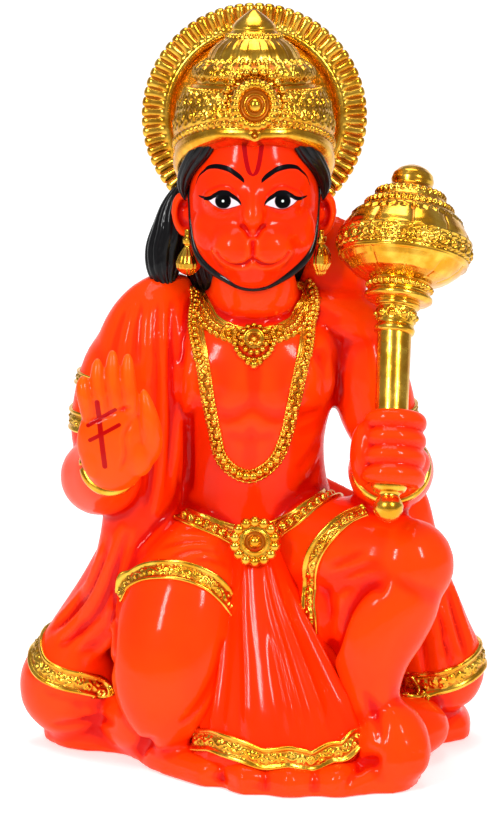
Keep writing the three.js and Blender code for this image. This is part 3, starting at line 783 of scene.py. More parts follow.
# What is brushed on, in order, with the painted glint of light among it.
brushwork_and_glint = [
    (mark, (168, 0, 10)),
    (under_line * 0.8, (110, 10, 20)),
    (white, (238, 214, 224)),
    (iris * white, (6, 4, 5)),
    (glint * white, (225, 245, 235)),
    (lash, (10, 8, 12)),
    (brow, (10, 8, 12)),
]
tone = painted(face_paint, red_orange, shade_and_cloud_red, highlight_orange)
for mask, shade in brushwork_and_glint:
    tone = face_paint.blend(mask * front_only, tone, colour(shade))
inked = face_paint.fade(iris * white + lash + brow, 0.2, 0.8) * front_only
face_paint.set(
    base_color=tone,
    coat_weight=varnish["coat_weight"] - 0.45 * inked,
    normal=face_paint.bump(face_paint.noise(2.4), 0.03),
)
finished(face.mesh, "head", face_paint)

# A thin line of beard is cast round the jaw, in low relief. It is painted glossy black with a fine brush,
# as is the hair.
gloss = {"specular_ior_level": 0.08, "coat_weight": 0.7, "coat_ior": 1.32, "coat_roughness": 0.05}
black_paint = Finish("black_paint", base_color=colour((7, 6, 8)), roughness=0.4, **gloss)
black_paint.set(normal=black_paint.bump(black_paint.noise(3), 0.12))
beard = bmesh.new()
jaw = [
    [-21, -9, 194, 0.45], [-20.9, -9.6, 188, 0.5], [-20.6, -10.4, 181, 0.6], [-20, -12, 175.6, 0.85],
    [-18.9, -13.6, 169.6, 1.3], [-17, -15, 165.6, 1.5], [-14.4, -16.6, 162.6, 1.3], [-8.2, -18, 159.8, 1],
    [-0.4, -18.6, 158.8, 0.85], [7.4, -18, 160, 1], [13.8, -16.6, 164.2, 1.3], [17.4, -14.6, 169.6, 1.35],
    [19.2, -12.6, 175, 0.95], [20.2, -10.6, 181, 0.6], [20.6, -9.6, 188, 0.5], [20.9, -9, 194, 0.45],
]
line = []
for x, y, z, half in spline(jaw, np.linspace(0, 1, 70)):
    hit = face_skin.find_nearest(Vector((x, y, z)))[0]
    line.append([*hit, half * 1.1, half])
limb(beard, line, sides=16, steps=200, facing=ahead, blunt=6)
finished(closed(beard), "beard_line", black_paint)

# The hair is cast with the head: combed locks at the temples, a mass that falls behind to the neck,
# and one thick lock on the shoulder.
hair = bmesh.new()


def strands(count, depth, twist):
    """Combed strands round a lock, turning as they go down it."""
    return lambda angle, along: depth * (abs(np.sin(count * angle / 2 + twist * along)) ** 0.6 - 0.6)


for turn in (-1, 1):
    temple = [
        [turn * 12.4, -22.2, 211, 2.6, 2.4], [turn * 14.6, -21, 207.4, 3.2, 2.4],
        [turn * 17.2, -18.8, 203.4, 3.2, 2.6], [turn * 20.2, -15, 199, 2.8, 3],
        [turn * 22.2, -11.6, 195, 2.4, 3], [turn * 23, -9.6, 191, 1.8, 2.6],
        [turn * 22.4, -9, 187, 0.8, 1.2],
    ]
    limb(hair, temple, sides=84, steps=50, relief=strands(7, 0.75, 1))
mass = [
    [-4, 5, 146, 19, 7], [-3, 5, 162, 22, 9], [-1, 3, 180, 23.4, 12], [0, 2, 194, 24, 14],
    [0, 2, 208, 19, 14],
]
limb(hair, mass, sides=170, steps=40, relief=strands(36, 0.7, 3))
lock = [
    [-28, -1, 156, 4, 4], [-29.6, 0, 162.6, 6, 6], [-28.8, 1, 169, 6.8, 6.6], [-26.6, 1, 176, 6.8, 7],
    [-25.6, 1, 183, 6, 7], [-24, 0, 191, 4.6, 6],
]
limb(hair, lock, sides=100, steps=70, relief=strands(13, 0.9, 5))
finished(closed(hair), "hair", black_paint)

# The blessing hand is cast with the arm: a flat palm, four closed fingers and a thumb beside them.
# It is sprayed paler than the body, and a mark of three strokes is painted on its palm.
hand = bmesh.new()
palm = [
    [-44.6, -40, 99, 7.4, 5.4], [-44.4, -43.6, 105, 10, 5.6], [-44, -45.6, 112, 12, 5.4],
    [-44, -46.6, 119, 11.8, 4.6], [-45.4, -47, 127, 10.4, 3.4],
]
limb(hand, palm, blunt=4)
finger_tips = [[-53.6, 135.6], [-49.1, 141.2], [-44.4, 143.9], [-39.6, 142.8]]
finger_spacing = 4.6
first_root = -51.8
knuckle_height = 127
for i, (x, tip) in enumerate(finger_tips):
    root = first_root + i * finger_spacing
    finger = [
        [root, -46.4, 119, 2.9, 3.2], [(root + x) / 2, -48.4, knuckle_height, 2.7, 3],
        [x, -48.6, (knuckle_height + tip) / 2, 2.5, 2.8], [x, -48, tip, 2.4, 2.4],
    ]
    limb(hand, finger, sides=28, steps=40)
thumb = [
    [-35, -44, 106, 4.6, 4.4], [-32.6, -46.6, 114, 4, 4.2], [-33, -48.6, 122, 3.2, 3.4],
    [-34.8, -48.8, 131.6, 2.2, 2.4],
]
limb(hand, thumb, sides=28, steps=40)
bulge(hand, (-36.4, -46.6, 110), (5, 4.4, 7))
bulge(hand, (-49.8, -46.4, 110), (5, 3.6, 8))
blessing = Clay(hand, grain=0.5)
blessing.smooth(4)
palm_skin = blessing.surface()
crease = [[-52.4, 121.4], [-47, 123], [-42, 125], [-38.4, 126.4]]
blessing.stroke(laid(palm_skin, crease), 1.3, -0.5)
life_line = [[-38.2, 122], [-40.6, 117], [-40.4, 111], [-42, 105.4]]
blessing.stroke(laid(palm_skin, life_line), 1.6, -0.6)
blessing.settle()
record(blessing.mesh, "hollow", 1.6 * blessing.hollows(24))
palm_paint = Finish("painted_palm", **varnish)
# Its paler orange, with a deeper red for painted shade in its creases and a paler one for painted highlights.
tone = painted(palm_paint, colour((252, 76, 3)), colour((236, 34, 0)), colour((255, 106, 14)))


def dash(finish, start, end, half):
    """A brush stroke in the front view, from one [x, z] to another."""
    length = math.dist(start, end)
    run, rise = (end[0] - start[0]) / length, (end[1] - start[1]) / length
    across, up_to = finish.x - start[0], finish.z - start[1]
    along = across * run + up_to * rise
    beyond = abs(along - length / 2) - length / 2
    apart = abs(across * rise - up_to * run)
    outside = (beyond.sum("MAXIMUM", beyond, 0) ** 2 + apart ** 2) ** 0.5
    return finish.fade(outside, half, half - 0.3)


marks = dash(palm_paint, (-49.2, 127.6), (-47, 107), 1)
for start, end in (((-52.2, 120), (-43.6, 125.2)), ((-51.6, 115.4), (-42.4, 120.4))):
    marks = marks.sum("MAXIMUM", marks, dash(palm_paint, start, end, 0.8))
marks = marks * palm_paint.fade(palm_paint.y, -44, -45)
tone = palm_paint.blend(marks, tone, colour((172, 0, 0)))
palm_paint.set(base_color=tone, normal=palm_paint.bump(palm_paint.noise(2.4), 0.03))
finished(blessing.mesh, "blessing_hand", palm_paint)

# The fist is cast closed round the mace's staff: four fingers come round its front one above the other,
# against the palm's heel.
mace_foot = np.array([42.2, -50, 89])
mace_neck = np.array([44.9, -27.6, 147])
mace_top = np.array([52, -8, 198])
mace_axis = unit(mace_neck - mace_foot)
fist_bottom = 11.4
finger_pitch = 5.9
fist = bmesh.new()
mace_side = unit(np.cross(mace_axis, ahead))
mace_front = unit(np.cross(mace_side, mace_axis))
for i in range(4):
    centre = mace_foot + mace_axis * (fist_bottom + (i + 0.5) * finger_pitch)
    wrap = []
    for turn in np.radians(np.linspace(-60, 165, 10)):
        drawn_in = turn > 2.2
        reach = 7.2 if drawn_in else 7.6
        spot = centre + reach * (mace_side * math.cos(turn) * 1.12 + mace_front * math.sin(turn))
        wrap.append([*spot, 3, 3.3])
    limb(fist, wrap, sides=28, steps=60, facing=upward, blunt=3)
heel = [
    [34.8, -40, 99, 3.6, 6], [34.6, -42, 107, 4.4, 6.6], [35.4, -41, 115, 4.2, 6],
    [37.4, -39, 120, 3.4, 5],
]
limb(fist, heel)
back_of_hand = [
    [44, -30, 103, 11, 9], [45.6, -36, 107, 11.4, 10], [47, -38, 113, 9, 8],
]
limb(fist, back_of_hand, facing=upward)
grip = Clay(fist, grain=0.5)
grip.smooth(5)
# Shade is painted into the gaps between the fingers, and highlight onto the knuckles, as on the body.
record(grip.mesh, "hollow", 1.6 * grip.hollows(24) + 0.3 * grip.hollows(90))
finished(grip.mesh, "fist", paint)

# Gold is brushed over the ornaments, which are all cast with the figure.
# It is bright on what stands out, and browner where the brush missed and where shade is painted into
# recesses.
old_gold = colour((214, 148, 30))
bright_gold = colour((242, 190, 68))
shaded_thin_gold = colour((190, 108, 16))
shaded_bare_patch = colour((214, 70, 6))


def gilded(name, low, high):
    """Gold on what stands higher than `high` shares, thin brown gold and painted shade on what lies lower
    than `low`.
    """
    finish = Finish(name, coat_weight=0.1, coat_roughness=0.08, specular_ior_level=0.3)
    lift = finish.worn("lift")
    cloud = finish.noise(3.2, 4)
    gold = finish.fade(lift + (cloud - 0.5) * 0.1, low, high)
    tone = finish.blend(finish.fade(finish.noise(6), 0.35, 0.7), old_gold, bright_gold)
    # Thin brown gold with bare orange patches, which also stands for the shade in the recesses.
    thin = finish.blend(finish.fade(finish.noise(9, 5), 0.62, 0.7), shaded_thin_gold, shaded_bare_patch)
    finish.set(
        base_color=finish.blend(gold, thin, tone),
        metallic=0.7 + 0.3 * gold,
        roughness=0.38 - 0.16 * gold + 0.08 * finish.fade(cloud, 0.45, 0.75),
        normal=finish.bump(finish.noise(1.6, 3), 0.06),
    )
    return finish


gold_relief = gilded("gold_on_relief", low=-0.28, high=-0.08)
gold_smooth = gilded("gold_on_plain", low=-2, high=-1.5)


def lift_layer(bm):
    """A gilded form's value at each point: its relief's height, and on beads how far the point faces the
    light.
    """
    return bm.verts.layers.float.get("lift") or bm.verts.layers.float.new("lift")


def distances(points):
    """How far along a line each of its points is."""
    return np.concatenate([[0], np.cumsum(np.linalg.norm(np.diff(points, axis=0), axis=1))])


def read_off(values, run, at):
    """Rows of values, each known at a distance along a run, read at other distances."""
    return np.stack([np.interp(at, run, column) for column in values.T], axis=1)


def turned(bm, profile, start, end, sides, steps, relief=None):
    """A turned form: its profile of [distance from the start, radius] is spun about the line to the end."""
    start, end = np.array(start, float), np.array(end, float)
    axis = unit(end - start)
    side = unit(np.cross(axis, upward if abs(axis[2]) < 0.9 else ahead))
    out = np.cross(side, axis)
    outline = np.array([[profile[0][0], 0], *profile, [profile[-1][0], 0]], float)
    run = distances(outline)
    step = run[-1] * 0.004

    def warp(angle, place):
        at = (1 + place) / 2 * run[-1]
        distance, radius = read_off(outline, run, at).T
        rise, spread = (read_off(outline, run, at + step) - read_off(outline, run, at - step)).T
        slope = np.hypot(rise, spread).clip(1e-6)
        inside = abs(place) < grid_rim
        lift = relief(angle, distance, radius) * inside if relief else np.zeros(len(at))
        distance = distance - spread / slope * lift
        radius = (radius + rise / slope * lift) * inside
        round_it = side * np.sin(angle)[:, None] + out * np.cos(angle)[:, None]
        return start + axis * distance[:, None] + round_it * radius[:, None], lift

    wrapped(bm, sides, steps, warp, lift_layer(bm))


def dome(across, along, radius):
    """A round bead's height over a flat ground."""
    return np.sqrt((radius ** 2 - across ** 2 - along ** 2).clip(0))


def every(value, pitch):
    """How far a value is from the middle of its own repeat."""
    return (value / pitch - np.floor(value / pitch) - 0.5) * pitch


def line_at(value, place, half):
    """A thin round ridge at a place."""
    return np.sqrt((1 - ((value - place) / half) ** 2).clip(0))


# The crown is cast with the head and painted gold. It is a tall cap: a plain rim, a band of scrolls and
# beads, a rolled lip, a fluted dome and a pointed knob.
crown_y = -5
crown_rim = 208
crown_back = 17.4
crown_profile = [
    [0, 24.4], [0.3, 25.6], [1.2, 26.3], [2.4, 26.4], [3.2, 25.9], [3.8, 25.7], [8, 25.8], [11, 24.9],
    [14, 22.9], [16, 20.2], [17, 18.7], [17.8, 18.8], [19.4, 19.9], [21.4, 19.5], [22.8, 17.8],
    [23.4, 15.6], [24.2, 15.1], [25.4, 14.8], [26.6, 14.2], [27.8, 13.4], [29, 12.2], [30, 10.9],
    [30.9, 9.6], [31.8, 8.6], [32.8, 7.8], [33.4, 7.1], [33.9, 7.3], [34.5, 7.3], [35.3, 6.8],
    [36.3, 5.9], [37.4, 4.6], [38.4, 3.3], [39.4, 1.9], [40.2, 0.7],
]
flutes_start = 24
flutes_end = 31


def highest(*lifts):
    """Several reliefs as one: what stands highest at each point."""
    return np.maximum.reduce(np.broadcast_arrays(*lifts))


def crown_relief(angle, rise, radius):
    around = angle * 25.6
    lift = 0.4 * line_at(rise, 3.5, 0.45) + 0.35 * line_at(rise, 6.4, 0.4) + 0.3 * line_at(rise, 16.2, 0.45)
    crumb = dome(every(around, 2.2), rise - 4.95, 0.85)
    low_curl = np.hypot(every(around, 4.2), rise - 8.6)
    high_curl = np.hypot(every(around + 2.1, 4.2), rise - 12)
    roll = np.hypot(every(angle * 19.5, 6.1), (rise - 20.2) * 1.1)
    rings = highest(line_at(roll, 1.1, 0.4), line_at(roll, 2, 0.38), line_at(roll, 2.8, 0.34))
    lift = highest(
        lift,
        crumb * (abs(around) > 2.4),
        dome(low_curl, 0, 0.9),
        0.55 * line_at(low_curl, 1.6, 0.42),
        dome(high_curl, 0, 0.95),
        0.55 * line_at(high_curl, 1.7, 0.42),
        dome(every(around, 2.1), rise - 14.6, 0.8),
        dome(every(around + 1, 2.1), rise - 10.3, 0.5),
        0.36 * rings,
        dome(roll, 0, 0.6),
    )
    flutes = 0.8 * (abs(np.sin(14 * angle)) ** 0.6 - 0.8)
    lift += flutes * ((rise - flutes_start) / 1.6).clip(0, 1) * ((flutes_end - rise) / 1.6).clip(0, 1)
    beads_under = dome(every(angle * 15, 2.5), rise - 23.7, 0.9)
    beads_over = dome(every(angle * 8.4, 1.55), rise - 31.8, 0.7)
    lift = highest(lift, beads_under, beads_over)
    worked_zone = ((rise > 4) & (rise < 15.8)) | ((rise > 17.6) & (rise < 24))
    return np.where(worked_zone & (lift < 0.12), -0.34, lift)


crown = bmesh.new()
crown_foot = (0, crown_y, crown_rim)
crown_above = (0, crown_y, crown_rim + 10)
turned(crown, crown_profile, crown_foot, crown_above, sides=400, steps=180, relief=crown_relief)

# Its rim slopes down to the back of the head, and dips to a small point over the brow.
for point in crown.verts:
    rise = point.co.z - crown_rim
    forward = (point.co.y - crown_y) * 0.96
    low = min(max(1 - rise / 15, 0), 1)
    point.co.y = min(forward + crown_y, crown_back)
    point.co.z -= 0.54 * max(forward + 22.5, 0) * low
    if forward < 0:
        point.co.z -= 0.9 * max(1 - abs(point.co.x) / 3.4, 0) * min(max(1 - rise / 4, 0), 1)
finished(closed(crown), "crown", gold_relief)


# On the crown's front is a round medal with a pleated rim, over a small boss and under an arch of beads.
# They are cast with it and painted the same gold.
def rosette(bm, centre, facing, radius, height, sides, steps=40, petals=0, petal_at=0.0, petal_size=0.0):
    """A round boss: a dished disc with a domed eye, and round petals where they are asked for."""
    centre = np.array(centre, float)
    profile = [
        [-1.5, radius * 0.9], [0, radius], [0.8 * height, radius * 0.97], [1.1 * height, radius * 0.86],
        [1.1 * height, radius * 0.66], [1.5 * height, radius * 0.58], [1.1 * height, radius * 0.5],
        [0.7 * height, radius * 0.46], [0.6 * height, radius * 0.37], [1.2 * height, radius * 0.34],
        [2.1 * height, radius * 0.2], [2.4 * height, radius * 0.06],
    ]

    def relief(angle, distance, radius_there):
        hollow = -0.3 * line_at(radius_there, radius * 0.42, radius * 0.08)
        if not petals:
            return hollow
        around = every(angle * petal_at, 2 * math.pi * petal_at / petals)
        petal = dome(around, radius_there - petal_at, petal_size) * (distance > 0.2)
        return np.maximum(hollow, petal)

    turned(bm, profile, centre, centre + np.array(facing), sides, steps, relief)


def beads(bm, spots, radius):
    """Small round beads, with shade painted browner round their feet, on the side turned from the light."""
    layer = lift_layer(bm)
    sides = 8 if radius < 1.3 else 12
    # The side of each bead turned away from this way is browned as painted shade.
    towards_light = Vector((0, -1, 0.4))
    for spot in spots:
        size = {"u_segments": sides, "v_segments": sides // 2, "radius": radius}
        made = bmesh.ops.create_uvsphere(bm, **size, matrix=Matrix.Translation(Vector(spot)))["verts"]
        for point in made:
            point[layer] = (point.co - Vector(spot)).dot(towards_light) / radius - 0.3


jewel = bmesh.new()
medal = [
    [-2, 5.8], [0, 7.2], [1.6, 7.4], [2.6, 6.9], [2.9, 6.1], [2.7, 5.3], [2, 4.7], [1.4, 4.2], [1.4, 3.7],
    [1.9, 3.3], [2, 2.9], [1.6, 2.6], [2, 2.3], [3, 1.9], [3.7, 1.2], [4, 0.5],
]


def pleated_rim(angle, distance, radius):
    pleat = 0.45 * abs(np.sin(11 * angle)) * (radius > 5)
    recess = -0.5 * np.maximum(line_at(radius, 4, 0.5), line_at(radius, 2.6, 0.3)) * (distance > 0)
    return pleat + recess


medal_height = 218.8
medal_back = (0.2, -29.4, medal_height)
turned(jewel, medal, medal_back, (0.2, -40, 219.9), sides=180, steps=52, relief=pleated_rim)
for point in jewel.verts:
    point.co.z = medal_height + (point.co.z - medal_height) * 1.08
rosette(jewel, (0.2, -30.8, 209.6), (0, -1, 0), radius=2.1, height=0.8, sides=48)
arc = []
arc_height = 219
for turn in np.radians(np.linspace(-112, 112, 15)):
    x, z = 0.2 + 9.4 * math.sin(turn), arc_height + 10.1 * math.cos(turn)
    y = crown_y - 0.96 * math.sqrt(25.2 ** 2 - x * x) + 0.34 * max(0, z - arc_height)
    arc.append((x, y, z))
beads(jewel, arc, 1.4)
finished(closed(jewel), "crown_jewel", gold_relief)

# The halo is a thin plate cast behind the crown, with a double ring and a border of round-ended rays.
# It is painted gold, thinly between the rays, where shade is also painted in.
rays = 68
halo_profile = [
    [0, 35.4], [0.8, 36.8], [3, 37.5], [4.4, 37.4], [5.2, 36.4], [5.2, 34], [4.9, 31], [4.9, 30],
    [5.5, 29.6], [6.1, 29.1], [5.5, 28.6], [5.5, 28.3], [6, 27.9], [5.3, 27.4], [4.4, 27], [4.4, 14],
]


def halo_relief(angle, distance, radius):
    groove = 1 - abs(np.sin(rays * angle / 2)) ** 0.32
    deep = 0.5 + 1.1 * ((radius - 29.8) / 3).clip(0, 1)
    edge = (radius > 29.9) & (distance > 0.4)
    tips = np.where(radius > 36.6, 0.6, 1)
    return -groove * deep * edge * tips


halo = bmesh.new()
halo_back = (0.2, 18.5, 212.4)
turned(halo, halo_profile, halo_back, (0.2, 0, 212.4), sides=rays * 8, steps=76, relief=halo_relief)
finished(closed(halo), "halo", gilded("gold_on_halo", low=-1.1, high=-0.35))

# The mace is cast with the fist that holds it, and painted gold: a turned staff with a ringed grip,
# a gadrooned ball with a beaded belt, and a stepped knob.
staff_profile = [
    [0, 1], [1.2, 3.2], [3.4, 4.6], [5.4, 4.8], [7.4, 3.9], [8.4, 3.3], [9.2, 3.6], [10, 5.2],
    [11.4, 5.8], [12.8, 5.5], [13.8, 5], [20, 5.1], [40, 5.3], [63, 5.6],
]
mace_profile = [
    [-1.3, 5.2], [-1, 6.3], [0.2, 6.7], [1.2, 6.3], [1.7, 5.9], [2.2, 6.2], [7.2, 6.3], [7.6, 7.3],
    [8.6, 7.4], [9, 7], [9.3, 9.8], [10.2, 11.1], [11.4, 11], [12.1, 9.6], [12.7, 9.4], [13.1, 10.2],
    [15, 10.4], [15.6, 9.8], [16.6, 12.8], [18, 15.8], [20.6, 18.8], [23, 20.4], [26, 21.3], [30, 21.3],
    [33, 20.4], [36.2, 18.3], [38.4, 15.9], [39.2, 15.4], [40, 14.2], [42, 13.4], [42.8, 11.8],
    [44.6, 11], [46, 10], [47, 7.8], [48.2, 6.6], [50, 7], [52, 6.5], [53.6, 5], [54.8, 2.8], [55.3, 1],
]
ball_belt = 27.1
ball_pitch = 4.46


def mace_relief(angle, distance, radius):
    zigzag = 0.9 * abs(every(angle * 18, 3.2)) - 0.7
    gadroon = abs(np.sin(5 * angle)) ** 0.3 - 1
    grooves = gadroon * 1.1 * ((distance > 30.8) & (distance < 37.4 + zigzag))
    grooves += gadroon * 0.4 * ((distance > 16.4) & (distance < 22.6))
    around = angle * 21.3
    between = every(around + ball_pitch / 2, ball_pitch)
    ring = np.hypot(every(around, ball_pitch), distance - ball_belt)
    in_belt = abs(distance - ball_belt)
    lift = highest(
        0.6 * line_at(distance, 23, 0.42),
        0.6 * line_at(distance, 24, 0.42),
        0.6 * line_at(distance, 30.4, 0.42),
        highest(dome(ring, 0, 1.2), 0.55 * line_at(ring, 1.95, 0.4)) * (in_belt < 2.7),
        dome(between, distance - 29.2, 0.75),
        dome(between, distance - 25.1, 0.7),
        0.6 * line_at(distance - 37.4 - zigzag, 0, 0.5),
        dome(every(angle * 14.4, 2.26), distance - 40.9, 1),
        dome(every(angle * 11, 2.3), distance - 45, 1),
        dome(every(angle * 10.3, 2.3), distance - 14.1, 0.85),
    )
    lift = np.where((in_belt < 3) & (lift < 0.1), -0.7, lift) + grooves
    neck_ring = np.hypot(every(angle * 6.3, 3.96), distance - 4.7)
    neck = highest(dome(neck_ring, 0, 1.2), 0.4 * line_at(neck_ring, 1.75, 0.35))
    return np.where(distance < 7, np.maximum(lift, neck), lift)


mace = bmesh.new()
turned(mace, staff_profile, mace_foot, mace_neck, sides=72, steps=90)
turned(mace, mace_profile, mace_neck, mace_top, sides=270, steps=200, relief=mace_relief)
finished(closed(mace), "mace", gilded("gold_on_mace", low=-1.05, high=-0.5))


# The long necklace lies in low relief on the chest, cast with it and painted gold: a double row of round
# beads with granules at its sides, larger at the bottom. Up the neck one row turns into two cords.
def calmed(values, times):
    """Rows of values, each drawn halfway to the mean of the two beside it, several times over."""
    for _ in range(times):
        values[1:-1] += 0.5 * (0.5 * (values[:-2] + values[2:]) - values[1:-1])
    return values


class Trail:
    """A way over a surface, through points near it, that knows where it is and what faces out."""

    def __init__(self, surface, line):
        self.surface = surface
        spacing = 0.3
        rough = spline(line, np.linspace(0, 1, 400))
        run = distances(rough)
        count = max(8, int(run[-1] / spacing))
        even = read_off(rough, run, np.linspace(0, run[-1], count))
        found = [surface.find_nearest(Vector(spot)) for spot in even]
        self.spots = calmed(np.array([hit[0] for hit in found], float), 6)
        self.out = unit(calmed(np.array([hit[1] for hit in found], float), 14))
        self.run = distances(self.spots)
        self.length = self.run[-1]

    def on_skin(self, at, across, lift):
        """Points at distances along the trail and across it, lifted off the skin."""
        reach = 4
        across, lift = (np.broadcast_to(value, np.shape(at)).astype(float) for value in (across, lift))
        spots, out = read_off(self.spots, self.run, at), unit(read_off(self.out, self.run, at))
        after, before = (read_off(self.spots, self.run, at + step) for step in (0.4, -0.4))
        side = unit(np.cross(unit(after - before), out))
        places = spots + side * across[:, None]
        for i, (place, away) in enumerate(zip(places, out)):
            hit = self.surface.ray_cast(Vector(place + away * reach), Vector(-away), 2 * reach)[0]
            if hit:
                places[i] = hit
        return places + out * lift[:, None]


def band(bm, trail, half, pattern):
    """A closed band along a trail. Its pattern gives its height, by distance along it and share across."""
    bedded = 1.2
    proud = 0.35
    sides = 40
    steps = max(12, int(trail.length / 0.34))
    quarter = math.pi / 2

    def warp(angle, place):
        at = (1 + place) / 2 * trail.length
        top = abs(angle) <= quarter + 0.001
        over = np.where(top, angle / quarter, np.sign(angle) * (math.pi - abs(angle)) / quarter)
        end = abs(place) > grid_rim
        carved = pattern(at, over)
        lift = np.where(top, carved + proud, -bedded)
        return trail.on_skin(at, over * half * ~end, np.where(end, 0, lift)), np.where(top, carved, 0)

    wrapped(bm, sides, steps, warp, lift_layer(bm))


def carved_in(raised, least, ground):
    """What stands up by at least so much, on a sunk ground."""
    return np.where(raised < least, ground, raised)


necklace_line = [
    [-18, 2, 158.4], [-18.8, -4, 155.4], [-19, -11, 150], [-18.4, -15, 143], [-16, -19, 130],
    [-13.8, -18, 114], [-10.8, -17, 102.4], [-1.8, -17.6, 97], [6.8, -17, 102.4], [11.2, -18, 113],
    [14.4, -19, 129], [17.4, -15, 142], [18.4, -10, 149.6], [18.6, -4, 155], [17.8, 2, 158.4],
]
necklace_trail = Trail(skin, necklace_line)
low_point = necklace_trail.length / 2
cord_length = 30
lower_part = low_point - cord_length
swell_length = 22
pitch = 2.3


def necklace_bed(at, over):
    grain = dome(every(at, 1.5), (abs(over) - 0.82) * 2.5, 0.62)
    upper = abs(at - low_point) > lower_part
    cords = 0.5 * highest(line_at(over, -0.86, 0.16), line_at(over, -0.48, 0.16))
    return carved_in(np.where(upper, highest(cords, grain * (over > 0)), grain), 0.08, -0.2)


necklace = bmesh.new()
band(necklace, necklace_trail, 2.4, necklace_bed)
for k in range(int(necklace_trail.length / pitch)):
    at = (k + 0.5) * pitch
    large = max(0.0, 1 - abs(at - low_point) / swell_length)
    upper = abs(at - low_point) > lower_part
    shift = 0.75 if upper else (0.85 if k % 2 else -0.85) * (1 - large)
    size = 1.25 + 0.65 * large ** 2
    beads(necklace, necklace_trail.on_skin(np.array([at]), shift, 0.5), size)
    granules = np.array([at, at + pitch / 2])
    beads(necklace, necklace_trail.on_skin(granules, 2.2 if upper else -1.5 * shift, 0.45), 0.85)
finished(closed(necklace), "necklace", gold_relief)

# The collar is a gold crescent in low relief at the foot of the neck: two rows of beads under a plain edge,
# with three rosettes and hanging drops at its middle.
collar_line = [
    [-19, -4, 155.4], [-17.4, -8, 153], [-14.4, -13, 149], [-8, -15, 144.6], [0, -16, 143],
    [8, -15, 144.6], [14.4, -13, 149], [17.4, -8, 153], [19, -4, 155.4],
]


def collar_pattern(at, over):
    plain = 0.7 * highest(line_at(over, -0.88, 0.12), line_at(over, -0.56, 0.1))
    beaded = dome(every(at, 2.3), (over - 0.64) * 3.4, 1.05)
    small = dome(every(at + 0.8, 1.7), (over + 0.08) * 3.4, 0.7)
    return carved_in(highest(plain, beaded, small), 0.08, -0.3)


collar = bmesh.new()
band(collar, Trail(skin, collar_line), 3.4, collar_pattern)


def spot_on_skin(x, z, out):
    """The point of the skin that is seen at x and z, brought forward a little."""
    hit = seen(skin, x, z)
    return (hit.x, hit.y - out, hit.z)


def all_round(count):
    """Even turns of a full circle."""
    return np.radians(np.linspace(0, 360, count + 1)[:-1])


collar_middle = 142.8
rosette(collar, spot_on_skin(0, collar_middle, 0.7), (0, -1, 0.1), radius=3.7, height=1, sides=80)
ring = [(4.1 * math.sin(turn), collar_middle + 4.1 * math.cos(turn)) for turn in all_round(13)]
beads(collar, [spot_on_skin(x, z, 1.6) for x, z in ring], 1.05)
flower = {"radius": 3, "height": 0.8, "sides": 56, "petals": 9, "petal_at": 2.3, "petal_size": 0.6}
for turn in (-1, 1):
    rosette(collar, spot_on_skin(turn * 8, 144.4, 0.5), (turn * 0.2, -1, 0.1), **flower)
below = np.radians(np.linspace(-78, 78, 11))
fringe = [(6.4 * math.sin(turn), 142.4 - 6.2 * math.cos(turn)) for turn in below]
beads(collar, [spot_on_skin(x, z, 0.5) for x, z in fringe], 1.15)
tassel = [(-4, 137.4), (4, 137.4), (-2, 135.4), (2, 135.4)]
beads(collar, [spot_on_skin(x, z, 0.4) for x, z in tassel], 1.05)
beads(collar, [spot_on_skin(0, 134.8, 0.6)], 1.6)
finished(closed(collar), "collar", gold_relief)

# The belt is a rimmed band of round beads, cast on the hips in gold. It is closed by a buckle that stands
# out over the cloth, with a boss inside a ring of large beads.
belt_left = [
    [-24.2, -11.4, 83.8], [-22.2, -13.4, 83.2], [-19.3, -15.8, 82.2], [-14.6, -17, 80.4], [-11, -17.4, 79],
    [-5, -17.6, 77.4],
]
belt_right = [
    [5, -17.4, 78.4], [9.6, -18, 80.6], [15.1, -19.6, 84.4], [21.6, -16.4, 87.8], [24.6, -12, 89.2],
    [26.6, -6, 90.2],
]


def edged(over):
    """The two raised edges of a ribbon."""
    return 0.75 * highest(line_at(over, 0.84, 0.2), line_at(over, -0.84, 0.2))


def belt_pattern(at, over):
    beaded = dome(every(at, 3.1), (over + 0.05) * 3.6, 1.4)
    crumbs = dome(every(at, 1.6), (over - 0.62) * 3.6, 0.5)
    return carved_in(highest(edged(over), beaded, crumbs), 0.08, -0.3)


belt = bmesh.new()
for line in (belt_left, belt_right):
    band(belt, Trail(skin, line), 3.6, belt_pattern)
buckle_x, buckle_z = 0.3, 78.4
buckle_facing = (0, -1, 0.06)
rosette(belt, (buckle_x, -29.6, buckle_z), buckle_facing, radius=6.4, height=1.2, sides=120, steps=50)
ring = [(buckle_x + 6.6 * math.sin(turn), -30.4, buckle_z + 6.6 * math.cos(turn)) for turn in all_round(14)]
beads(belt, ring, 1.95)
finished(closed(belt), "belt", gold_relief)

# Over each thigh the tight cloth ends in a ribbon of leaf scrolls between raised edges, cast in low relief
# and painted gold. The armlets and hems are the same kind of ribbon.


def leaves(size, width):
    """A wavy stem with a curled leaf in each of its bends, on a sunk ground."""

    def pattern(at, over):
        across = over * width
        inner = 0.3 * highest(line_at(over, 0.58, 0.08), line_at(over, -0.58, 0.08))
        wave = np.sin(2 * math.pi * at / size)
        vine = 0.4 * line_at(across - 0.24 * width * wave, 0, 0.45)
        curl = np.hypot(every(at, size / 2), across + 0.2 * width * np.sign(wave))
        leaf = highest(dome(curl, 0, 0.7), 0.35 * line_at(curl, 1.15, 0.3))
        raised = highest(highest(vine, leaf) * (abs(over) < 0.5), inner, edged(over))
        return np.where((raised < 0.06) & (abs(over) < 0.9), -0.2, raised)

    return pattern


def ribbon(bm, surface, line, half, leaf_size=6.4):
    """A band of leaf scrolls, laid on a surface by a line."""
    band(bm, Trail(surface, line), half, leaves(leaf_size, half))


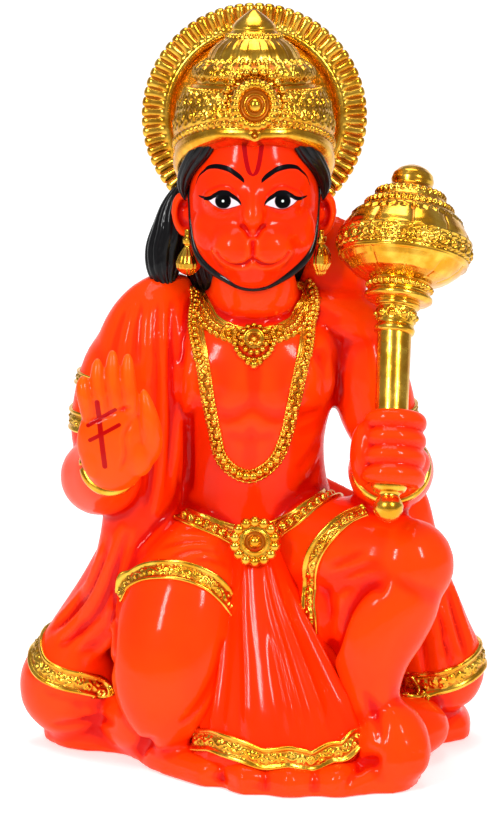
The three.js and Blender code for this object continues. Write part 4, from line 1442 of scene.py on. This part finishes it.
bands = bmesh.new()
kneeling_band = [
    [-43.6, -19.4, 57], [-41.8, -20.4, 62.2], [-36.9, -24.8, 66.6], [-30.5, -28.5, 68.6],
    [-22.4, -30.4, 68.3], [-14.6, -30.6, 65.2], [-9.8, -30, 61], [-7, -29, 57.4], [-4.4, -26.6, 53],
]
raised_band = [
    [37, -27, 87.9], [31.1, -28.7, 86.1], [24.6, -30.4, 80.7], [20.2, -30, 74],
    [18.2, -28.6, 65.8], [18.4, -28, 58.8], [19.6, -28, 52.6], [21, -26, 46],
]
ribbon(bands, skin, kneeling_band, 3.5)
ribbon(bands, skin, raised_band, 3.1)
finished(closed(bands), "thigh_bands", gold_relief)

# Each wrist has a plain round bangle, thicker on the raised arm.
# It is cast with the arm, sits tight on its skin, and is painted gold.


def hoop(centre, facing, radius):
    """Points of a ring that faces one way, to be drawn in onto the skin."""
    facing = unit(np.array(facing, float))
    side = unit(np.cross(facing, upward))
    over = np.cross(side, facing)
    turns = np.linspace(0, 2 * math.pi, 25)
    return [list(np.array(centre) + radius * (side * math.cos(t) + over * math.sin(t))) for t in turns]


rings = bmesh.new()
bangles = [
    ((-44.8, -37, 105), (0.05, -1, 0.62), 10, 1.9),
    ((44.2, -29, 102.2), (0, -1, 0.5), 12, 1.5),
]
for centre, facing, radius, half in bangles:
    spots = Trail(skin, hoop(centre, facing, radius)).spots[::6]
    limb(rings, [[*spot, half, half] for spot in spots], sides=14, steps=110, facing=upward, blunt=40)
finished(closed(rings), "bangles", gold_smooth)

# The upper arms have armlets: two on the sleeve of the shawl and one on the bare arm.
# They are ribbons of small leaf scrolls, cast in low relief and painted gold.
armlets = bmesh.new()
armlet_lines = [
    [[-49.6, -11, 126.6], [-54, -9, 127], [-57.4, -3, 127.6], [-58, 4, 128], [-56, 11, 128]],
    [[-52.6, -12, 113.4], [-57, -9, 113.8], [-60.4, -3, 114.4], [-61, 4, 115], [-59, 11, 115.4]],
    [[46, -10, 114], [50.6, -7, 114.6], [53.6, -1, 115.6], [53.4, 6, 116.6], [50, 12, 117.4]],
]
for line, half in zip(armlet_lines, (2.2, 3.4, 2.4)):
    ribbon(armlets, skin, line, half, leaf_size=5)
finished(closed(armlets), "armlets", gold_relief)

# Ear drops are cast under the lobes and painted gold: a fluted bell on one side and a bulb on the other,
# each under a bead.
bell_profile = [
    [0, 0.8], [0.8, 2.4], [2.4, 3.9], [4.2, 4.1], [6.4, 3.2], [8.6, 1.7], [9.6, 1.2], [10.4, 1.9], [11.8, 2],
    [12.8, 1.2], [15, 1.2],
]
bulb_profile = [
    [0, 0.6], [0.6, 1.6], [1.4, 1.9], [2, 2.4], [4, 3.5], [7, 3.5], [9.6, 2.2], [10.4, 1.4], [11, 2],
    [12.6, 2.1], [13.4, 1.2], [15, 1.2],
]


def drop_ribs(angle, distance, radius):
    return 0.3 * (abs(np.sin(6 * angle)) ** 0.6 - 0.6) * (distance < 9)


drops = bmesh.new()
for profile, x, bottom in ((bell_profile, -21.4, 162.6), (bulb_profile, 21.6, 162.4)):
    turned(drops, profile, (x, -9, bottom), (x, -9, 172), sides=80, steps=60, relief=drop_ribs)
finished(closed(drops), "ear_drops", gold_smooth)

# The hems are gold ribbons of leaf scrolls, cast in low relief on the lower edges of the front cloth and
# of the cloak's two heaps.
front_hem = [
    [-21.6, -34, 13.4], [-18, -36.4, 13.6], [-13.4, -41, 14.8], [-9.2, -44.6, 14.4], [-3.6, -48, 13.4],
    [2.4, -50, 11.6], [7, -51, 12], [11.2, -51.6, 12.6], [15.4, -51.4, 11.8], [19.2, -51, 11],
    [25, -50, 13.4], [29.4, -49, 13.6], [34, -48, 17], [38, -47, 18.2], [42, -46, 20.4],
]
left_hem = [
    [-66, 18, 39], [-72, 8, 38], [-74, 0, 36.4], [-73.6, -5, 33.6], [-71.4, -8.6, 30.6], [-67.6, -11, 28.6],
    [-62, -12.6, 27], [-56, -12, 25.6], [-51.4, -10, 23.6], [-49.8, -9, 19.6],
]
right_hem = [
    [47.6, 2, 21.6], [51, -2.6, 22], [57, -4.4, 22.6], [64, -4, 23.8], [71, -1.4, 26.2], [76.4, 5, 29.2],
    [79, 13, 31], [78, 23, 31.4],
]
hems = bmesh.new()
for surface, line, half in ((cloth_skin, front_hem, 3.8), (skin, left_hem, 3.9), (skin, right_hem, 4.4)):
    ribbon(hems, surface, line, half)
finished(closed(hems), "hems", gold_relief)

# A plain pale floor of paper runs up behind as a backdrop. Its lengths are in metres.
floor_front = -1.2
floor_half_width = 2.4
flat_length = 2.2
bend_length = 0.6
bend_radius = 0.4
wall_height = 0.6
sweep = bmesh.new()
bmesh.ops.create_grid(sweep, x_segments=1, y_segments=60, size=1)
for point in sweep.verts:
    run = (point.co.y + 1) / 2 * (flat_length + bend_length + wall_height)
    point.co.x *= floor_half_width
    bend = min(max(run - flat_length, 0), bend_length)
    rise = max(run - flat_length - bend_length, 0)
    angle = bend / bend_length * math.pi / 2
    point.co.y = floor_front + min(run, flat_length) + bend_radius * math.sin(angle)
    point.co.z = bend_radius * (1 - math.cos(angle)) + rise
floor_mesh = bpy.data.meshes.new("floor")
sweep.to_mesh(floor_mesh)
sweep.free()
floor_mesh.shade_smooth()
floor = bpy.data.objects.new("floor", floor_mesh)


def grey(amount):
    return (amount, amount, amount, 1)


floor_paper = Finish("floor_paper", roughness=0.9, emission_strength=0.4)
grain = floor_paper.fade(floor_paper.noise(2, 4), 0.3, 0.7)
pale = floor_paper.blend(grain, grey(0.91), grey(0.94))
well_ahead = floor_paper.fade(floor_paper.y, -170, -320)
floor_paper.set(
    base_color=floor_paper.blend(well_ahead, pale, grey(0.56)),
    emission_color=floor_paper.blend(well_ahead, grey(1), grey(0.3)),
)
floor_mesh.materials.append(floor_paper.material)
scene.collection.objects.link(floor)
floor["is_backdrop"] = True

# The camera looks a little down on the front, with a long lens.
camera = bpy.data.objects.new("camera", bpy.data.cameras.new("camera"))
scene.collection.objects.link(camera)
camera.data.lens = 117.15
target = Vector((-2.586, 0, 114.297)) * share
elevation = math.radians(10)
camera_distance = 0.9
camera.location = target + camera_distance * Vector((0, -math.cos(elevation), math.sin(elevation)))
camera.rotation_euler = (math.pi / 2 - elevation, 0, 0)
scene.camera = camera
scene.view_settings.view_transform = "Standard"

# The studio's light is soft: a dim white all round, two tall softboxes ahead and a wide one overhead.
world = bpy.data.worlds.new("studio")
scene.world = world
world.use_nodes = True
background = world.node_tree.nodes["Background"]
background.inputs["Color"].default_value = grey(1)
background.inputs["Strength"].default_value = 0.3


def lamp(name, place, aim, width, height, power):
    light = bpy.data.objects.new(name, bpy.data.lights.new(name, "AREA"))
    light.data.shape = "RECTANGLE"
    light.data.size = width
    light.data.size_y = height
    light.data.energy = power
    light.location = place
    light.rotation_euler = (Vector(aim) - Vector(place)).to_track_quat("-Z", "Y").to_euler()
    scene.collection.objects.link(light)


chest = (0, 0, 0.12)
lamp("left_softbox", (-0.5, -0.8, 0.62), chest, width=0.11, height=0.42, power=6.4)
lamp("right_softbox", (0.55, -0.75, 0.66), chest, width=0.11, height=0.42, power=5.6)
lamp("top_softbox", (0, 0.05, 1.1), (0, 0, 0.1), width=0.6, height=0.6, power=5)

low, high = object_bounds()
